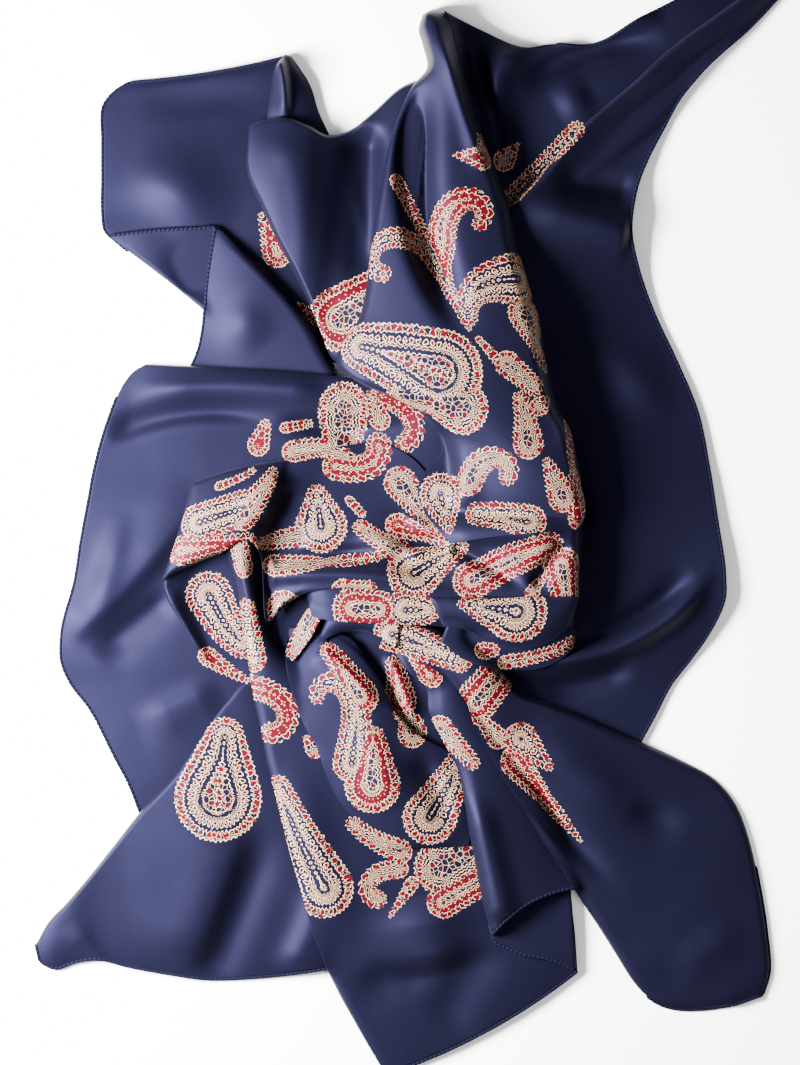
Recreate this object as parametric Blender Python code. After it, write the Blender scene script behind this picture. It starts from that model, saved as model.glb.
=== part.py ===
"""A printed silk square, twisted and dropped on a table.

The scarf is one square of silk with four rolled hems. Lying in a heap it shows as long stretches of cloth that
pass over and under each other. Each stretch here is one wall of even thickness, lofted through sections, and the
stretches are laid one after the other, each resting on those already down. The layers that nothing shows share
one low rounded mound under the heap.

Sections and folds are drawn on a chart seen from straight above: x to the right, y towards the viewer's feet,
heights up from the table, all in millimetres for a square of CHART_SIDE.
"""

from collections import namedtuple

import bmesh
import bpy
import numpy as np

SCARF_SIDE = 0.900  # cut edge of the silk square, in metres
CHART_SIDE = 900  # the same edge on the chart
UNIT = SCARF_SIDE / CHART_SIDE  # metres in one unit of the chart
CENTRE_X, CENTRE_Y = 317.0, 383.0  # the chart's point above the part's origin

WALL = 1.5  # thickness of the cloth
SEAT_GAP = 0.35  # between a stretch and what it lies on
STEEPEST = 2.4  # most that a slope may thicken the wall, measured upright
SIDE_STEP, LENGTH_STEP = 18.0, 16.5  # size of a facet across and along a stretch
FEWEST_SIDE, FEWEST_LENGTH = 5, 7  # facets, whatever the size
ROLL_CROWD = 0.35  # how far facets crowd towards a rolled edge
LAYER_INSETS = (0.0, 0.5, 5.0, 5.5, 10.0, 10.5)  # edge steps of the mound, in from its outline
LAYER_TOPS = (1.8, 1.8, 1.8, 3.6, 3.6, 5.4)  # height of the mound at those steps

CELL = 2.0  # grid on which the laid cloth is measured
GRID_LEFT, GRID_TOP = 0.0, -70.0
GRID_COLUMNS, GRID_ROWS = 330, 460
SOFTEN = 3  # cells over which a stretch bridges what is under it
PROBES = 9  # points tested along each side of a facet
LIFT_PASSES = 4

# A stretch: its name, colour, the radii of its rolled edges (at its first and last section, on the left and on the
# right; 0 is a hem or a hidden edge), its sections and its folds.
Stretch = namedtuple("Stretch", "name colour first last left right sections folds")
# One section, from its left point to its right point: bow is how far it bows to the viewer's left of that
# direction, and crown how far its middle rises.
Section = namedtuple("Section", "left_x left_y right_x right_y bow left_z right_z crown")
# One ridge (or trough, where height is below 0) from a start to an end, with its width on either side and the
# share of its length over which it fades in and out.
Fold = namedtuple("Fold", "x1 y1 x2 y2 bend left right height fade_in fade_out")

NAVY = (0.020, 0.022, 0.075)
NAVY_LIT = (0.030, 0.034, 0.105)
NAVY_SHADE = (0.012, 0.013, 0.040)
PRINT = (0.300, 0.180, 0.150)

MOUND = Stretch(
    "heap_core", NAVY_SHADE, 0, 0, 0, 0,
    (
        (322, 60, 340, 60, 0, 2, 2, 1),
        (308, 110, 360, 112, 0, 2, 2, 8),
        (300, 170, 374, 172, 0, 2, 2, 14),
        (295, 230, 390, 235, 0, 2, 2, 18),
        (285, 290, 408, 300, 0, 2, 2, 15),
        (262, 340, 422, 350, 0, 2, 2, 7),
        (240, 390, 424, 395, 0, 2, 2, 4),
        (228, 430, 422, 440, 0, 2, 2, 7),
        (224, 465, 416, 475, 0, 2, 2, 8),
        (228, 500, 390, 500, 0, 2, 2, 6),
        (236, 540, 370, 545, 0, 2, 2, 5),
        (248, 580, 358, 580, 0, 2, 2, 3),
        (266, 606, 344, 602, 0, 2, 2, 1),
    ),
    (
        (385, 360, 385, 440, 0, 26, 20, 12, 0.4, 0.4),
    ),
)

STRETCHES = (
    Stretch(
        "top_left_corner", NAVY_LIT, 0, 0, 0, 0,
        (
            (97, 62, 215, 43, -3, 2, 6, 1),
            (86, 69, 224, 51, -1, 2, 7, 2),
            (78, 79, 232, 63, 0, 2, 7, 2),
            (77, 105, 239, 84, 0, 3, 6, 3),
            (77, 135, 250, 108, 0, 3, 6, 5),
            (77, 160, 262, 140, 0, 3, 6, 5),
            (79, 173, 272, 165, 0, 4, 5, 4),
            (87, 181, 282, 190, 0, 4, 4, 3),
            (118, 205, 292, 222, 0, 3, 4, 2),
            (152, 231, 300, 252, 0, 3, 3, 0),
            (190, 262, 300, 280, 0, 3, 3, 0),
        ),
        (
            (92, 120, 175, 175, 4, 30, 24, 8, 0.5, 0.5),
            (100, 80, 205, 70, 0, 14, 14, -2, 0.4, 0.4),
        ),
    ),
    Stretch(
        "corner_curl", NAVY, 3, 0, 3, 5,
        (
            (214, 41, 219, 43, 0, 8, 8, 0),
            (207, 50, 225, 52, 0, 10, 7, 4),
            (204, 62, 232, 63, 0, 10, 7, 5),
            (202, 76, 237, 80, 0, 9, 7, 5),
            (200, 92, 242, 96, 0, 8, 7, 5),
            (199, 108, 246, 112, 0, 7, 6, 3),
        ),
        (
            (209, 44, 213, 100, 3, 4, 9, 9, 0.1, 0.4),
        ),
    ),
    Stretch(
        "pleat_underside", NAVY, 2, 0, 0, 4,
        (
            (83, 177, 84, 179, 0, 6, 5, 0),
            (103, 175, 104, 194, 0, 9, 7, 0),
            (125, 173, 126, 211, 0, 10, 8, -1),
            (148, 172, 142, 224, 0, 11, 8, -4),
            (164, 172, 158, 237, 0, 12, 8, -5),
            (174, 180, 168, 246, 0, 10, 6, -3),
        ),
        (
            (130, 180, 150, 225, 0, 14, 14, -3, 0.4, 0.3),
        ),
    ),
    Stretch(
        "upper_left_border", NAVY_LIT, 0, 0, 0, 11,
        (
            (162, 171, 166, 173, 0, 13, 13, 0),
            (159, 190, 186, 190, 0, 12, 17, 1),
            (156, 210, 207, 211, 0, 10, 18, 2),
            (154, 230, 225, 231, 0, 7, 18, 3),
            (152, 248, 238, 250, 0, 5, 16, 3),
            (149, 262, 247, 268, 0, 4, 14, 2),
            (143, 277, 258, 286, 0, 3, 11, 1),
            (138, 292, 266, 302, 0, 3, 6, 0),
        ),
        (
            (168, 225, 200, 262, 0, 18, 18, 4, 0.5, 0.5),
        ),
    ),
    Stretch(
        "left_border", NAVY_LIT, 6, 0, 0, 0,
        (
            (110, 273, 262, 283, 1, 7, 16, 1),
            (99, 280, 300, 291, 1, 6, 18, 4),
            (90, 293, 330, 305, 0, 6, 18, 5),
            (84, 308, 345, 318, 0, 6, 14, 4),
            (77, 328, 350, 332, 0, 4, 10, 3),
            (72, 347, 350, 348, 0, 3, 10, 3),
            (66, 378, 320, 385, 0, 3, 9, 5),
            (61, 405, 290, 420, 0, 3, 8, 5),
            (56, 437, 265, 455, 0, 3, 8, 4),
            (46, 478, 250, 488, 0, 3, 8, 3),
            (46, 494, 245, 500, 0, 4, 8, 3),
            (53, 512, 235, 515, 0, 3, 8, 3),
            (68, 532, 225, 530, 0, 3, 7, 3),
            (86, 567, 215, 547, 0, 3, 6, 3),
            (97, 588, 205, 562, 0, 3, 5, 2),
            (107, 614, 200, 578, 0, 2, 4, 1),
        ),
        (
            (80, 328, 216, 317, 13, 16, 12, -9, 0.15, 0.4),
            (205, 316, 300, 330, 2, 6, 10, -9, 0.4, 0.1),
            (96, 296, 250, 296, 6, 12, 14, 6, 0.3, 0.2),
            (44, 484, 150, 365, -8, 22, 10, 11, 0.15, 0.3),
            (70, 494, 135, 440, 0, 10, 16, -5, 0.3, 0.3),
            (70, 470, 95, 380, 0, 12, 12, 3, 0.4, 0.4),
            (84, 520, 150, 500, 0, 16, 16, 4, 0.4, 0.4),
        ),
    ),
    Stretch(
        "top_border", NAVY, 0, 0, 0, 0,
        (
            (333, 10, 378, 165, 0, 22, 12, 0),
            (345, 16, 388, 170, 0, 14, 10, -4),
            (362, 24, 400, 165, 0, 9, 9, 0),
            (391, 36, 420, 150, 0, 8, 8, 2),
            (412, 34, 442, 130, 0, 8, 8, 3),
            (444, 34, 472, 105, 0, 8, 8, 2),
            (480, 15, 507, 72, 0, 9, 8, 0),
            (507, 1, 540, 40, 0, 9, 8, 0),
            (530, -12, 565, 8, 0, 7, 6, 0),
            (555, -26, 585, -14, 0, 5, 5, 0),
            (582, -41, 598, -34, 0, 3, 4, 0),
        ),
        (
            (391, 30, 366, 108, -8, 14, 14, 9, 0.25, 0.3),
            (350, 30, 376, 110, 0, 9, 9, -6, 0.3, 0.3),
            (388, 66, 500, 28, 10, 9, 14, -8, 0.25, 0.35),
            (412, 38, 500, 12, 5, 8, 10, 7, 0.3, 0.3),
            (415, 85, 445, 68, 0, 18, 18, 4, 0.5, 0.5),
        ),
    ),
    Stretch(
        "right_border", NAVY_SHADE, 0, 0, 9, 0,
        (
            (592, -38, 607, -33, 0, 8, 2, 1),
            (575, -19, 598, -16, 0, 13, 3, 2),
            (553, 0, 582, 0, 0, 17, 3, 2),
            (531, 16, 570, 13, 0, 20, 3, 2),
            (510, 31, 558, 25, 0, 22, 3, 2),
            (490, 48, 544, 37, 0, 23, 3, 1),
            (472, 65, 531, 49, 0, 24, 3, 0),
            (452, 82, 520, 61, 0, 24, 3, -1),
            (434, 98, 509, 75, 0, 25, 3, -3),
            (419, 115, 497, 97, 0, 26, 4, -5),
            (406, 131, 486, 118, 0, 27, 6, -6),
            (394, 143, 478, 138, 0, 28, 9, -4),
            (383, 152, 474, 156, 0, 28, 13, 0),
            (368, 178, 473, 178, 0, 22, 12, 5),
            (372, 205, 479, 204, 0, 16, 6, 3),
            (380, 240, 491, 237, 0, 12, 3, 1),
            (388, 275, 507, 271, 0, 12, 3, 0),
            (396, 312, 523, 310, 0, 12, 3, 1),
            (404, 350, 531, 349, 0, 12, 4, 2),
            (408, 390, 537, 388, 0, 12, 6, 1),
            (408, 430, 543, 431, 0, 12, 8, -2),
            (402, 460, 542, 452, 0, 12, 8, -1),
            (390, 480, 531, 475, 0, 14, 5, 2),
            (378, 497, 517, 495, 0, 14, 3, 3),
            (375, 514, 503, 513, 0, 10, 3, 2),
            (385, 532, 491, 536, 0, 8, 3, 1),
            (400, 548, 480, 556, 0, 6, 3, 1),
            (415, 565, 470, 576, 0, 5, 3, 0),
        ),
        (
            (384, 156, 474, 178, 3, 12, 16, 9, 0.15, 0.1),
            (412, 132, 478, 146, 0, 12, 12, -5, 0.3, 0.2),
            (362, 496, 540, 425, -26, 10, 10, 12, 0.15, 0.25),
            (420, 487, 520, 425, -12, 12, 12, -7, 0.3, 0.3),
            (400, 518, 478, 498, -4, 10, 10, -5, 0.3, 0.3),
            (450, 250, 500, 330, 6, 20, 20, 5, 0.5, 0.5),
            (412, 300, 430, 440, 6, 16, 22, -5, 0.4, 0.4),
        ),
    ),
    Stretch(
        "bottom_left_corner", NAVY_LIT, 0, 0, 4, 0,
        (
            (27, 708, 30, 721, 0, 3, 3, 0),
            (36, 692, 41, 726, 0, 5, 3, 2),
            (50, 677, 57, 721, 0, 7, 3, 2),
            (67, 657, 73, 719, 0, 8, 3, 1),
            (86, 633, 98, 725, 0, 9, 3, 2),
            (105, 609, 126, 730, 0, 10, 3, 4),
            (134, 578, 156, 734, 0, 11, 3, 5),
            (157, 544, 188, 733, 0, 12, 3, 4),
            (171, 525, 219, 730, 0, 12, 3, 3),
            (185, 510, 250, 725, 0, 12, 3, 2),
            (205, 500, 265, 721, 0, 10, 3, 1),
        ),
        (
            (48, 684, 120, 596, 0, 9, 9, 4, 0.3, 0.3),
            (60, 700, 128, 628, 4, 10, 12, -6, 0.3, 0.35),
            (98, 700, 165, 628, 0, 22, 20, 6, 0.4, 0.4),
            (150, 726, 206, 600, -8, 16, 12, -9, 0.2, 0.3),
            (178, 722, 235, 655, -6, 14, 16, 5, 0.2, 0.3),
        ),
    ),
    Stretch(
        "loop_inside", NAVY_SHADE, 0, 0, 3, 0,
        (
            (124, 430, 186, 400, 0, 18, 12, -2),
            (123, 440, 190, 424, 0, 18, 9, -4),
            (126, 450, 192, 440, 0, 17, 9, -4),
            (136, 467, 195, 460, 0, 16, 9, -4),
            (146, 484, 198, 478, 0, 15, 9, -3),
            (158, 500, 201, 496, 0, 13, 9, -2),
            (174, 508, 204, 508, 0, 12, 10, 0),
            (190, 515, 210, 518, 0, 12, 10, 0),
        ),
        (
            (128, 440, 160, 498, -4, 5, 10, 3, 0.2, 0.3),
        ),
    ),
    Stretch(
        "front_panel", NAVY_LIT, 0, 0, 7, 0,
        (
            (167, 404, 197, 396, 0, 20, 20, 8),
            (171, 418, 194, 414, 0, 22, 20, 9),
            (177, 435, 194, 435, 0, 22, 18, 9),
            (180, 452, 198, 454, 0, 20, 17, 9),
            (183, 478, 206, 478, 0, 19, 14, 8),
            (187, 500, 218, 493, 0, 18, 12, 8),
            (190, 520, 240, 505, 0, 18, 10, 7),
            (195, 543, 285, 522, 0, 18, 8, 5),
            (201, 573, 330, 548, 0, 17, 8, 5),
            (209, 605, 345, 580, 0, 16, 8, 4),
            (217, 637, 360, 605, 0, 15, 8, 3),
            (226, 668, 382, 625, 0, 13, 8, 2),
            (235, 699, 405, 645, 0, 11, 8, 1),
            (250, 737, 425, 662, 0, 8, 8, 2),
            (268, 770, 430, 690, -2, 5, 7, 3),
            (289, 806, 433, 728, -7, 2, 4, 2),
        ),
        (
            (262, 640, 285, 760, 4, 14, 12, -6, 0.2, 0.4),
            (215, 560, 262, 720, 0, 16, 14, 4, 0.4, 0.4),
            (300, 665, 330, 745, 4, 16, 14, 7, 0.3, 0.5),
            (338, 660, 362, 740, 2, 12, 12, -5, 0.3, 0.5),
        ),
    ),
    Stretch(
        "rolled_edge_inside", NAVY_SHADE, 0, 3, 0, 0,
        (
            (366, 694, 369, 704, 0, 10, 8, 0),
            (378, 680, 378, 709, 0, 11, 9, 0),
            (392, 668, 392, 715, 0, 11, 10, -1),
            (408, 660, 408, 718, 0, 11, 9, -2),
            (420, 655, 421, 722, 0, 11, 8, -2),
            (427, 655, 432, 727, 0, 10, 7, 0),
        ),
        (),
    ),
    Stretch(
        "mouth_fold", PRINT, 0, 0, 0, 0,
        (
            (240, 472, 300, 466, 0, 8, 13, -2),
            (246, 488, 312, 486, 0, 8, 14, -3),
            (258, 504, 322, 505, 0, 10, 17, 0),
            (272, 520, 328, 522, 0, 12, 16, 2),
            (286, 540, 332, 540, 0, 12, 14, 2),
            (296, 560, 340, 564, 0, 10, 12, 1),
        ),
        (
            (288, 486, 312, 545, 2, 7, 7, 7, 0.2, 0.3),
        ),
    ),
    Stretch(
        "front_fold", PRINT, 3, 8, 5, 0,
        (
            (217, 470, 264, 478, 4, 12, 20, 2),
            (215, 487, 284, 508, 14, 15, 23, 5),
            (216, 504, 300, 537, 11, 18, 22, 8),
            (219, 516, 312, 549, 6, 20, 20, 8),
            (223, 528, 328, 558, 3, 20, 18, 8),
            (230, 547, 342, 567, 0, 20, 15, 8),
            (237, 558, 347, 576, 0, 20, 13, 8),
            (243, 575, 352, 585, 0, 19, 12, 8),
            (254, 599, 354, 600, 0, 18, 11, 8),
            (267, 615, 355, 613, 0, 17, 10, 7),
            (278, 628, 354, 624, 0, 16, 10, 5),
            (290, 637, 352, 634, 0, 15, 10, 3),
        ),
        (
            (240, 484, 288, 530, 0, 6, 10, 5, 0.1, 0.3),
            (268, 530, 300, 610, 0, 16, 16, 5, 0.4, 0.4),
            (310, 560, 338, 625, 4, 8, 14, -5, 0.3, 0.3),
        ),
    ),
    Stretch(
        "open_roll", NAVY, 0, 0, 11, 0,
        (
            (290, 480, 302, 472, 0, 18, 22, 2),
            (306, 503, 326, 491, 0, 20, 24, 4),
            (319, 515, 346, 507, 0, 21, 24, 5),
            (322, 535, 358, 534, 0, 20, 22, 5),
            (332, 555, 368, 552, 0, 20, 20, 4),
            (343, 576, 384, 572, 0, 22, 16, 3),
            (348, 600, 400, 596, 0, 24, 14, 3),
            (352, 624, 414, 622, 0, 24, 12, 3),
            (358, 656, 426, 646, 0, 23, 11, 3),
            (363, 680, 432, 660, 3, 22, 11, 3),
            (369, 700, 434, 665, 8, 20, 12, 3),
        ),
        (
            (352, 590, 378, 690, 2, 12, 16, 5, 0.3, 0.1),
            (300, 488, 335, 514, 0, 8, 8, 4, 0.3, 0.4),
        ),
    ),
    Stretch(
        "bottom_right_corner", NAVY, 4, 0, 6, 7,
        (
            (292, 462, 284, 487, 0, 26, 24, 4),
            (310, 466, 304, 491, 0, 28, 25, 5),
            (330, 472, 322, 499, 0, 30, 26, 6),
            (350, 484, 337, 511, 0, 31, 27, 7),
            (372, 500, 349, 525, 0, 30, 27, 7),
            (392, 519, 355, 542, 0, 25, 26, 4),
            (415, 528, 363, 558, 0, 20, 24, 2),
            (428, 533, 377, 582, 0, 17, 21, 2),
            (440, 538, 393, 607, 0, 15, 18, 2),
            (460, 547, 408, 632, 0, 12, 15, 3),
            (480, 556, 424, 656, 0, 9, 12, 4),
            (508, 569, 437, 677, 0, 6, 9, 5),
            (535, 584, 450, 697, 0, 4, 7, 5),
            (551, 602, 462, 716, 0, 4, 5, 5),
            (562, 630, 474, 735, 0, 4, 4, 5),
            (569, 662, 485, 747, 0, 4, 3, 4),
            (575, 700, 503, 756, 0, 4, 3, 3),
            (577, 728, 525, 757, 0, 4, 3, 2),
            (572, 746, 549, 754, 0, 3, 3, 0),
        ),
        (
            (336, 516, 472, 674, -5, 11, 9, -11, 0.2, 0.5),
            (352, 530, 440, 680, 2, 8, 8, 5, 0.2, 0.5),
            (395, 540, 480, 620, 0, 22, 22, 5, 0.4, 0.4),
            (470, 600, 515, 625, 0, 14, 18, -4, 0.5, 0.5),
            (500, 735, 560, 690, 0, 18, 18, 3, 0.4, 0.4),
        ),
    ),
    Stretch(
        "top_lobe", NAVY_LIT, 4, 0, 4, 7,
        (
            (187, 96, 185, 122, 0, 18, 18, 1),
            (194, 92, 187, 135, 0, 19, 19, 2),
            (204, 90, 196, 155, 0, 20, 20, 4),
            (217, 90, 209, 183, 0, 21, 21, 5),
            (232, 95, 222, 207, 0, 20, 20, 5),
            (247, 102, 233, 230, 0, 16, 19, 2),
            (262, 98, 241, 250, 0, 13, 18, 0),
            (280, 84, 250, 270, 0, 13, 18, 2),
            (300, 66, 268, 276, 0, 15, 18, 6),
            (324, 58, 300, 268, 0, 18, 18, 6),
        ),
        (
            (212, 98, 236, 215, 6, 18, 16, 5, 0.2, 0.3),
            (258, 100, 266, 225, 5, 12, 12, -8, 0.15, 0.3),
        ),
    ),
    Stretch(
        "mouth_rim", NAVY, 3, 4, 0, 3,
        (
            (246, 461, 238, 483, 0, 26, 22, 1),
            (254, 457, 250, 476, 0, 27, 24, 3),
            (266, 457, 264, 473, 0, 28, 24, 4),
            (277, 459, 276, 474, 0, 28, 24, 4),
            (288, 462, 287, 478, 0, 28, 25, 3),
            (300, 465, 298, 486, 0, 28, 26, 2),
        ),
        (),
    ),
    Stretch(
        "lace_strip", PRINT, 3, 4, 3, 3,
        (
            (240, 448, 250, 456, 0, 18, 20, 3),
            (232, 455, 241, 464, 0, 18, 19, 4),
            (224, 467, 235, 475, 0, 17, 18, 4),
            (217, 481, 227, 487, 0, 16, 17, 4),
            (214, 492, 220, 496, 0, 15, 15, 2),
        ),
        (),
    ),
    Stretch(
        "left_band", PRINT, 5, 0, 0, 5,
        (
            (228, 436, 234, 462, 0, 22, 20, 2),
            (240, 432, 247, 465, 0, 26, 26, 3),
            (258, 431, 262, 466, 0, 27, 28, 4),
            (280, 433, 280, 467, 0, 28, 29, 4),
            (305, 436, 304, 468, 0, 29, 30, 4),
            (328, 438, 328, 469, 0, 30, 31, 4),
            (350, 440, 348, 472, 0, 31, 32, 3),
        ),
        (),
    ),
    Stretch(
        "under_strip", PRINT, 0, 5, 0, 6,
        (
            (338, 462, 330, 480, 0, 30, 28, 2),
            (352, 462, 348, 494, 0, 30, 26, 3),
            (372, 466, 372, 501, 0, 30, 24, 4),
            (388, 468, 388, 502, 0, 30, 24, 4),
            (403, 466, 404, 501, 0, 30, 24, 4),
            (414, 460, 418, 495, 0, 30, 24, 4),
            (420, 452, 428, 487, 0, 30, 24, 3),
            (423, 446, 434, 473, 0, 28, 24, 2),
        ),
        (),
    ),
    Stretch(
        "centre_bowl", PRINT, 5, 9, 4, 6,
        (
            (144, 362, 122, 436, 1, 20, 24, 4),
            (164, 355, 140, 426, 0, 22, 29, 6),
            (185, 349, 165, 416, 0, 22, 31, 6),
            (205, 346, 189, 406, 0, 20, 30, 6),
            (212, 345, 196, 416, 0, 19, 22, 3),
            (216, 344, 198, 438, 0, 18, 16, 0),
            (220, 343, 201, 466, 0, 17, 18, -2),
            (230, 341, 213, 455, 0, 16, 26, -5),
            (243, 338, 227, 446, 0, 15, 30, -8),
            (262, 334, 252, 441, 0, 14, 32, -9),
            (285, 332, 280, 442, 0, 12, 34, -9),
            (308, 343, 304, 445, 0, 10, 35, -8),
            (326, 362, 330, 448, 0, 12, 36, -3),
            (347, 382, 355, 451, 0, 24, 36, 2),
            (375, 388, 382, 453, 0, 32, 36, 3),
            (403, 386, 406, 453, 0, 36, 36, 4),
            (424, 382, 425, 452, 0, 37, 36, 4),
            (438, 376, 435, 450, 0, 36, 35, 2),
        ),
        (
            (196, 412, 228, 404, 0, 7, 6, -12, 0.1, 0.5),
            (203, 420, 290, 414, 2, 5, 7, -6, 0.1, 0.4),
            (200, 432, 330, 438, 5, 8, 8, 6, 0.05, 0.3),
            (214, 352, 200, 395, 0, 10, 10, 6, 0.3, 0.3),
            (338, 408, 398, 442, 0, 7, 7, -6, 0.1, 0.5),
            (336, 406, 286, 418, -3, 5, 7, -5, 0.1, 0.5),
            (336, 405, 300, 384, 0, 5, 6, 4, 0.1, 0.5),
            (338, 404, 424, 402, 3, 8, 8, 5, 0.1, 0.3),
            (424, 406, 398, 442, 0, 5, 8, -5, 0.1, 0.2),
        ),
    ),
    Stretch(
        "right_pouch", PRINT, 3, 5, 4, 6,
        (
            (322, 447, 332, 469, 0, 38, 33, 3),
            (338, 447, 346, 471, 0, 39, 33, 4),
            (358, 448, 362, 477, 0, 40, 33, 5),
            (378, 448, 380, 484, 0, 40, 32, 6),
            (398, 447, 400, 485, 0, 40, 32, 6),
            (414, 447, 415, 479, 0, 39, 32, 5),
            (425, 447, 424, 472, 0, 38, 32, 3),
            (433, 448, 429, 466, 0, 36, 32, 1),
        ),
        (
            (330, 466, 380, 476, 0, 5, 5, -3, 0.3, 0.3),
        ),
    ),
    Stretch(
        "main_ridge", PRINT, 5, 7, 6, 12,
        (
            (317, 11, 325, 7, 0, 22, 22, 2),
            (314, 21, 334, 13, 0, 24, 24, 4),
            (317, 34, 341, 34, 0, 26, 27, 6),
            (320, 52, 347, 55, 0, 27, 30, 7),
            (308, 68, 352, 73, 0, 27, 32, 7),
            (299, 88, 358, 92, 0, 28, 34, 6),
            (292, 108, 366, 113, 0, 30, 36, 5),
            (286, 135, 376, 138, 0, 31, 38, 5),
            (282, 156, 382, 160, 0, 32, 40, 6),
            (278, 187, 388, 187, 0, 33, 42, 8),
            (275, 215, 396, 213, 0, 33, 44, 10),
            (269, 240, 405, 243, 0, 33, 45, 12),
            (255, 262, 411, 278, 0, 32, 45, 14),
            (254, 276, 418, 305, 0, 31, 44, 15),
            (272, 289, 428, 324, 0, 31, 42, 15),
            (297, 300, 433, 345, 0, 28, 42, 14),
            (316, 311, 436, 358, 0, 26, 42, 14),
            (329, 326, 437, 368, 0, 24, 42, 13),
            (331, 340, 438, 374, 0, 20, 42, 13),
            (320, 352, 438, 379, 0, 12, 42, 13),
            (313, 366, 438, 384, 0, 11, 41, 11),
            (318, 384, 437, 389, 0, 12, 40, 8),
            (328, 397, 434, 394, 0, 15, 39, 5),
            (338, 408, 430, 398, 2, 20, 38, 2),
        ),
        (
            (319, 52, 352, 262, -24, 11, 12, -16, 0.3, 0.4),
            (325, 20, 362, 140, 4, 9, 9, 5, 0.3, 0.3),
            (252, 280, 338, 350, 10, 10, 16, 6, 0.2, 0.3),
            (380, 145, 396, 205, 2, 7, 7, 4, 0.3, 0.3),
            (404, 270, 432, 350, 4, 10, 10, 4, 0.4, 0.4),
            (334, 326, 350, 392, 3, 14, 10, 6, 0.2, 0.3),
            (352, 392, 418, 396, -4, 8, 8, 4, 0.2, 0.3),
        ),
    ),
)


def ease(t):
    """0 to 1, level at both ends."""
    t = np.clip(t, 0, 1)
    return t * t * (3 - 2 * t)


def side_gaps(rows):
    """How far each section is from the one before it, halfway between its left and right ends."""
    left = np.linalg.norm(np.diff(rows[:, 0:2], axis=0), axis=1)
    right = np.linalg.norm(np.diff(rows[:, 2:4], axis=0), axis=1)
    return (left + right) / 2


def sections_between(rows, share):
    """Sections at the given shares of the stretch's length, on smooth curves through all that are drawn."""
    along = np.concatenate([[0], np.cumsum(side_gaps(rows))])
    along /= along[-1]
    step = np.diff(along)[:, None]
    slope = np.diff(rows, axis=0) / step
    bend = np.empty_like(rows)
    bend[0], bend[-1] = slope[0], slope[-1]
    bend[1:-1] = (slope[:-1] * step[1:] + slope[1:] * step[:-1]) / (step[1:] + step[:-1])
    i = np.clip(np.searchsorted(along, share, side="right") - 1, 0, len(along) - 2)
    t = ((share - along[i]) / step[i, 0])[:, None]
    start = (2 * t**3 - 3 * t**2 + 1) * rows[i] + (t**3 - 2 * t**2 + t) * step[i] * bend[i]
    end = (3 * t**2 - 2 * t**3) * rows[i + 1] + (t**3 - t**2) * step[i] * bend[i + 1]
    return start + end


def fold_height(fold, x, y):
    """Height that one ridge or trough adds at each point."""
    across_x, across_y = fold.x2 - fold.x1, fold.y2 - fold.y1
    reach = np.hypot(across_x, across_y)
    across_x, across_y = across_x / reach, across_y / reach
    along = ((x - fold.x1) * across_x + (y - fold.y1) * across_y) / reach
    inside = np.clip(along, 0, 1)
    aside = (x - fold.x1) * across_y - (y - fold.y1) * across_x - 4 * fold.bend * inside * (1 - inside)
    width = np.where(aside > 0, fold.left, fold.right)
    faded = ease(along / fold.fade_in) * ease((1 - along) / fold.fade_out)
    return fold.height * faded * np.exp(-1.4 * (aside / width) ** 2)


def crowded(count, first_roll, last_roll):
    """Shares from 0 to 1, closer together at a rolled edge."""
    share = np.linspace(0, 1, count + 1)
    if first_roll and last_roll:
        return share - ROLL_CROWD * np.sin(2 * np.pi * share) / (2 * np.pi)
    if first_roll:
        return share ** (1 + ROLL_CROWD)
    if last_roll:
        return 1 - (1 - share) ** (1 + ROLL_CROWD)
    return share


def roll_off(distance, radius):
    """How much of its height the cloth keeps at a distance from a rolled edge."""
    if not radius:
        return 1.0
    return np.sqrt(1 - np.clip(1 - distance / radius, 0, 1) ** 2)


class Table:
    """The height of the cloth already laid, on a grid, with the bare table at 0."""

    def __init__(self):
        self.top = np.zeros((GRID_ROWS, GRID_COLUMNS))

    def spread(self, cells):
        """The highest point within so many cells."""
        wide = self.top
        for axis in (0, 1):
            shifts = [np.roll(wide, k, axis) for k in range(-cells, cells + 1)]
            wide = np.max(shifts, axis=0)
        return wide

    def softened(self, cells):
        """The height that cloth takes when it bridges steps and hollows."""
        soft = self.spread(cells)
        for axis in (0, 1, 0, 1):
            shifts = [np.roll(soft, k, axis) for k in range(-cells + 1, cells)]
            soft = np.mean(shifts, axis=0)
        return soft

    def add(self, x, y, z):
        """Stamps the tops of points that lie closer together than a cell."""
        column = np.clip(np.rint((x - GRID_LEFT) / CELL).astype(int), 0, GRID_COLUMNS - 1)
        row = np.clip(np.rint((y - GRID_TOP) / CELL).astype(int), 0, GRID_ROWS - 1)
        np.maximum.at(self.top, (row, column), z)


def read_grid(grid, x, y):
    """The grid's value at each point."""
    column = np.clip((x - GRID_LEFT) / CELL, 0, GRID_COLUMNS - 1.001)
    row = np.clip((y - GRID_TOP) / CELL, 0, GRID_ROWS - 1.001)
    i, j = column.astype(int), row.astype(int)
    right, down = column - i, row - j
    upper = grid[j, i] * (1 - right) + grid[j, i + 1] * right
    lower = grid[j + 1, i] * (1 - right) + grid[j + 1, i + 1] * right
    return upper * (1 - down) + lower * down


def highest_near(grid, x, y):
    """The highest of the four grid values round each point."""
    column = np.clip(np.floor((x - GRID_LEFT) / CELL).astype(int), 0, GRID_COLUMNS - 2)
    row = np.clip(np.floor((y - GRID_TOP) / CELL).astype(int), 0, GRID_ROWS - 2)
    corners = [grid[row + down, column + right] for down in (0, 1) for right in (0, 1)]
    return np.max(corners, axis=0)


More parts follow.
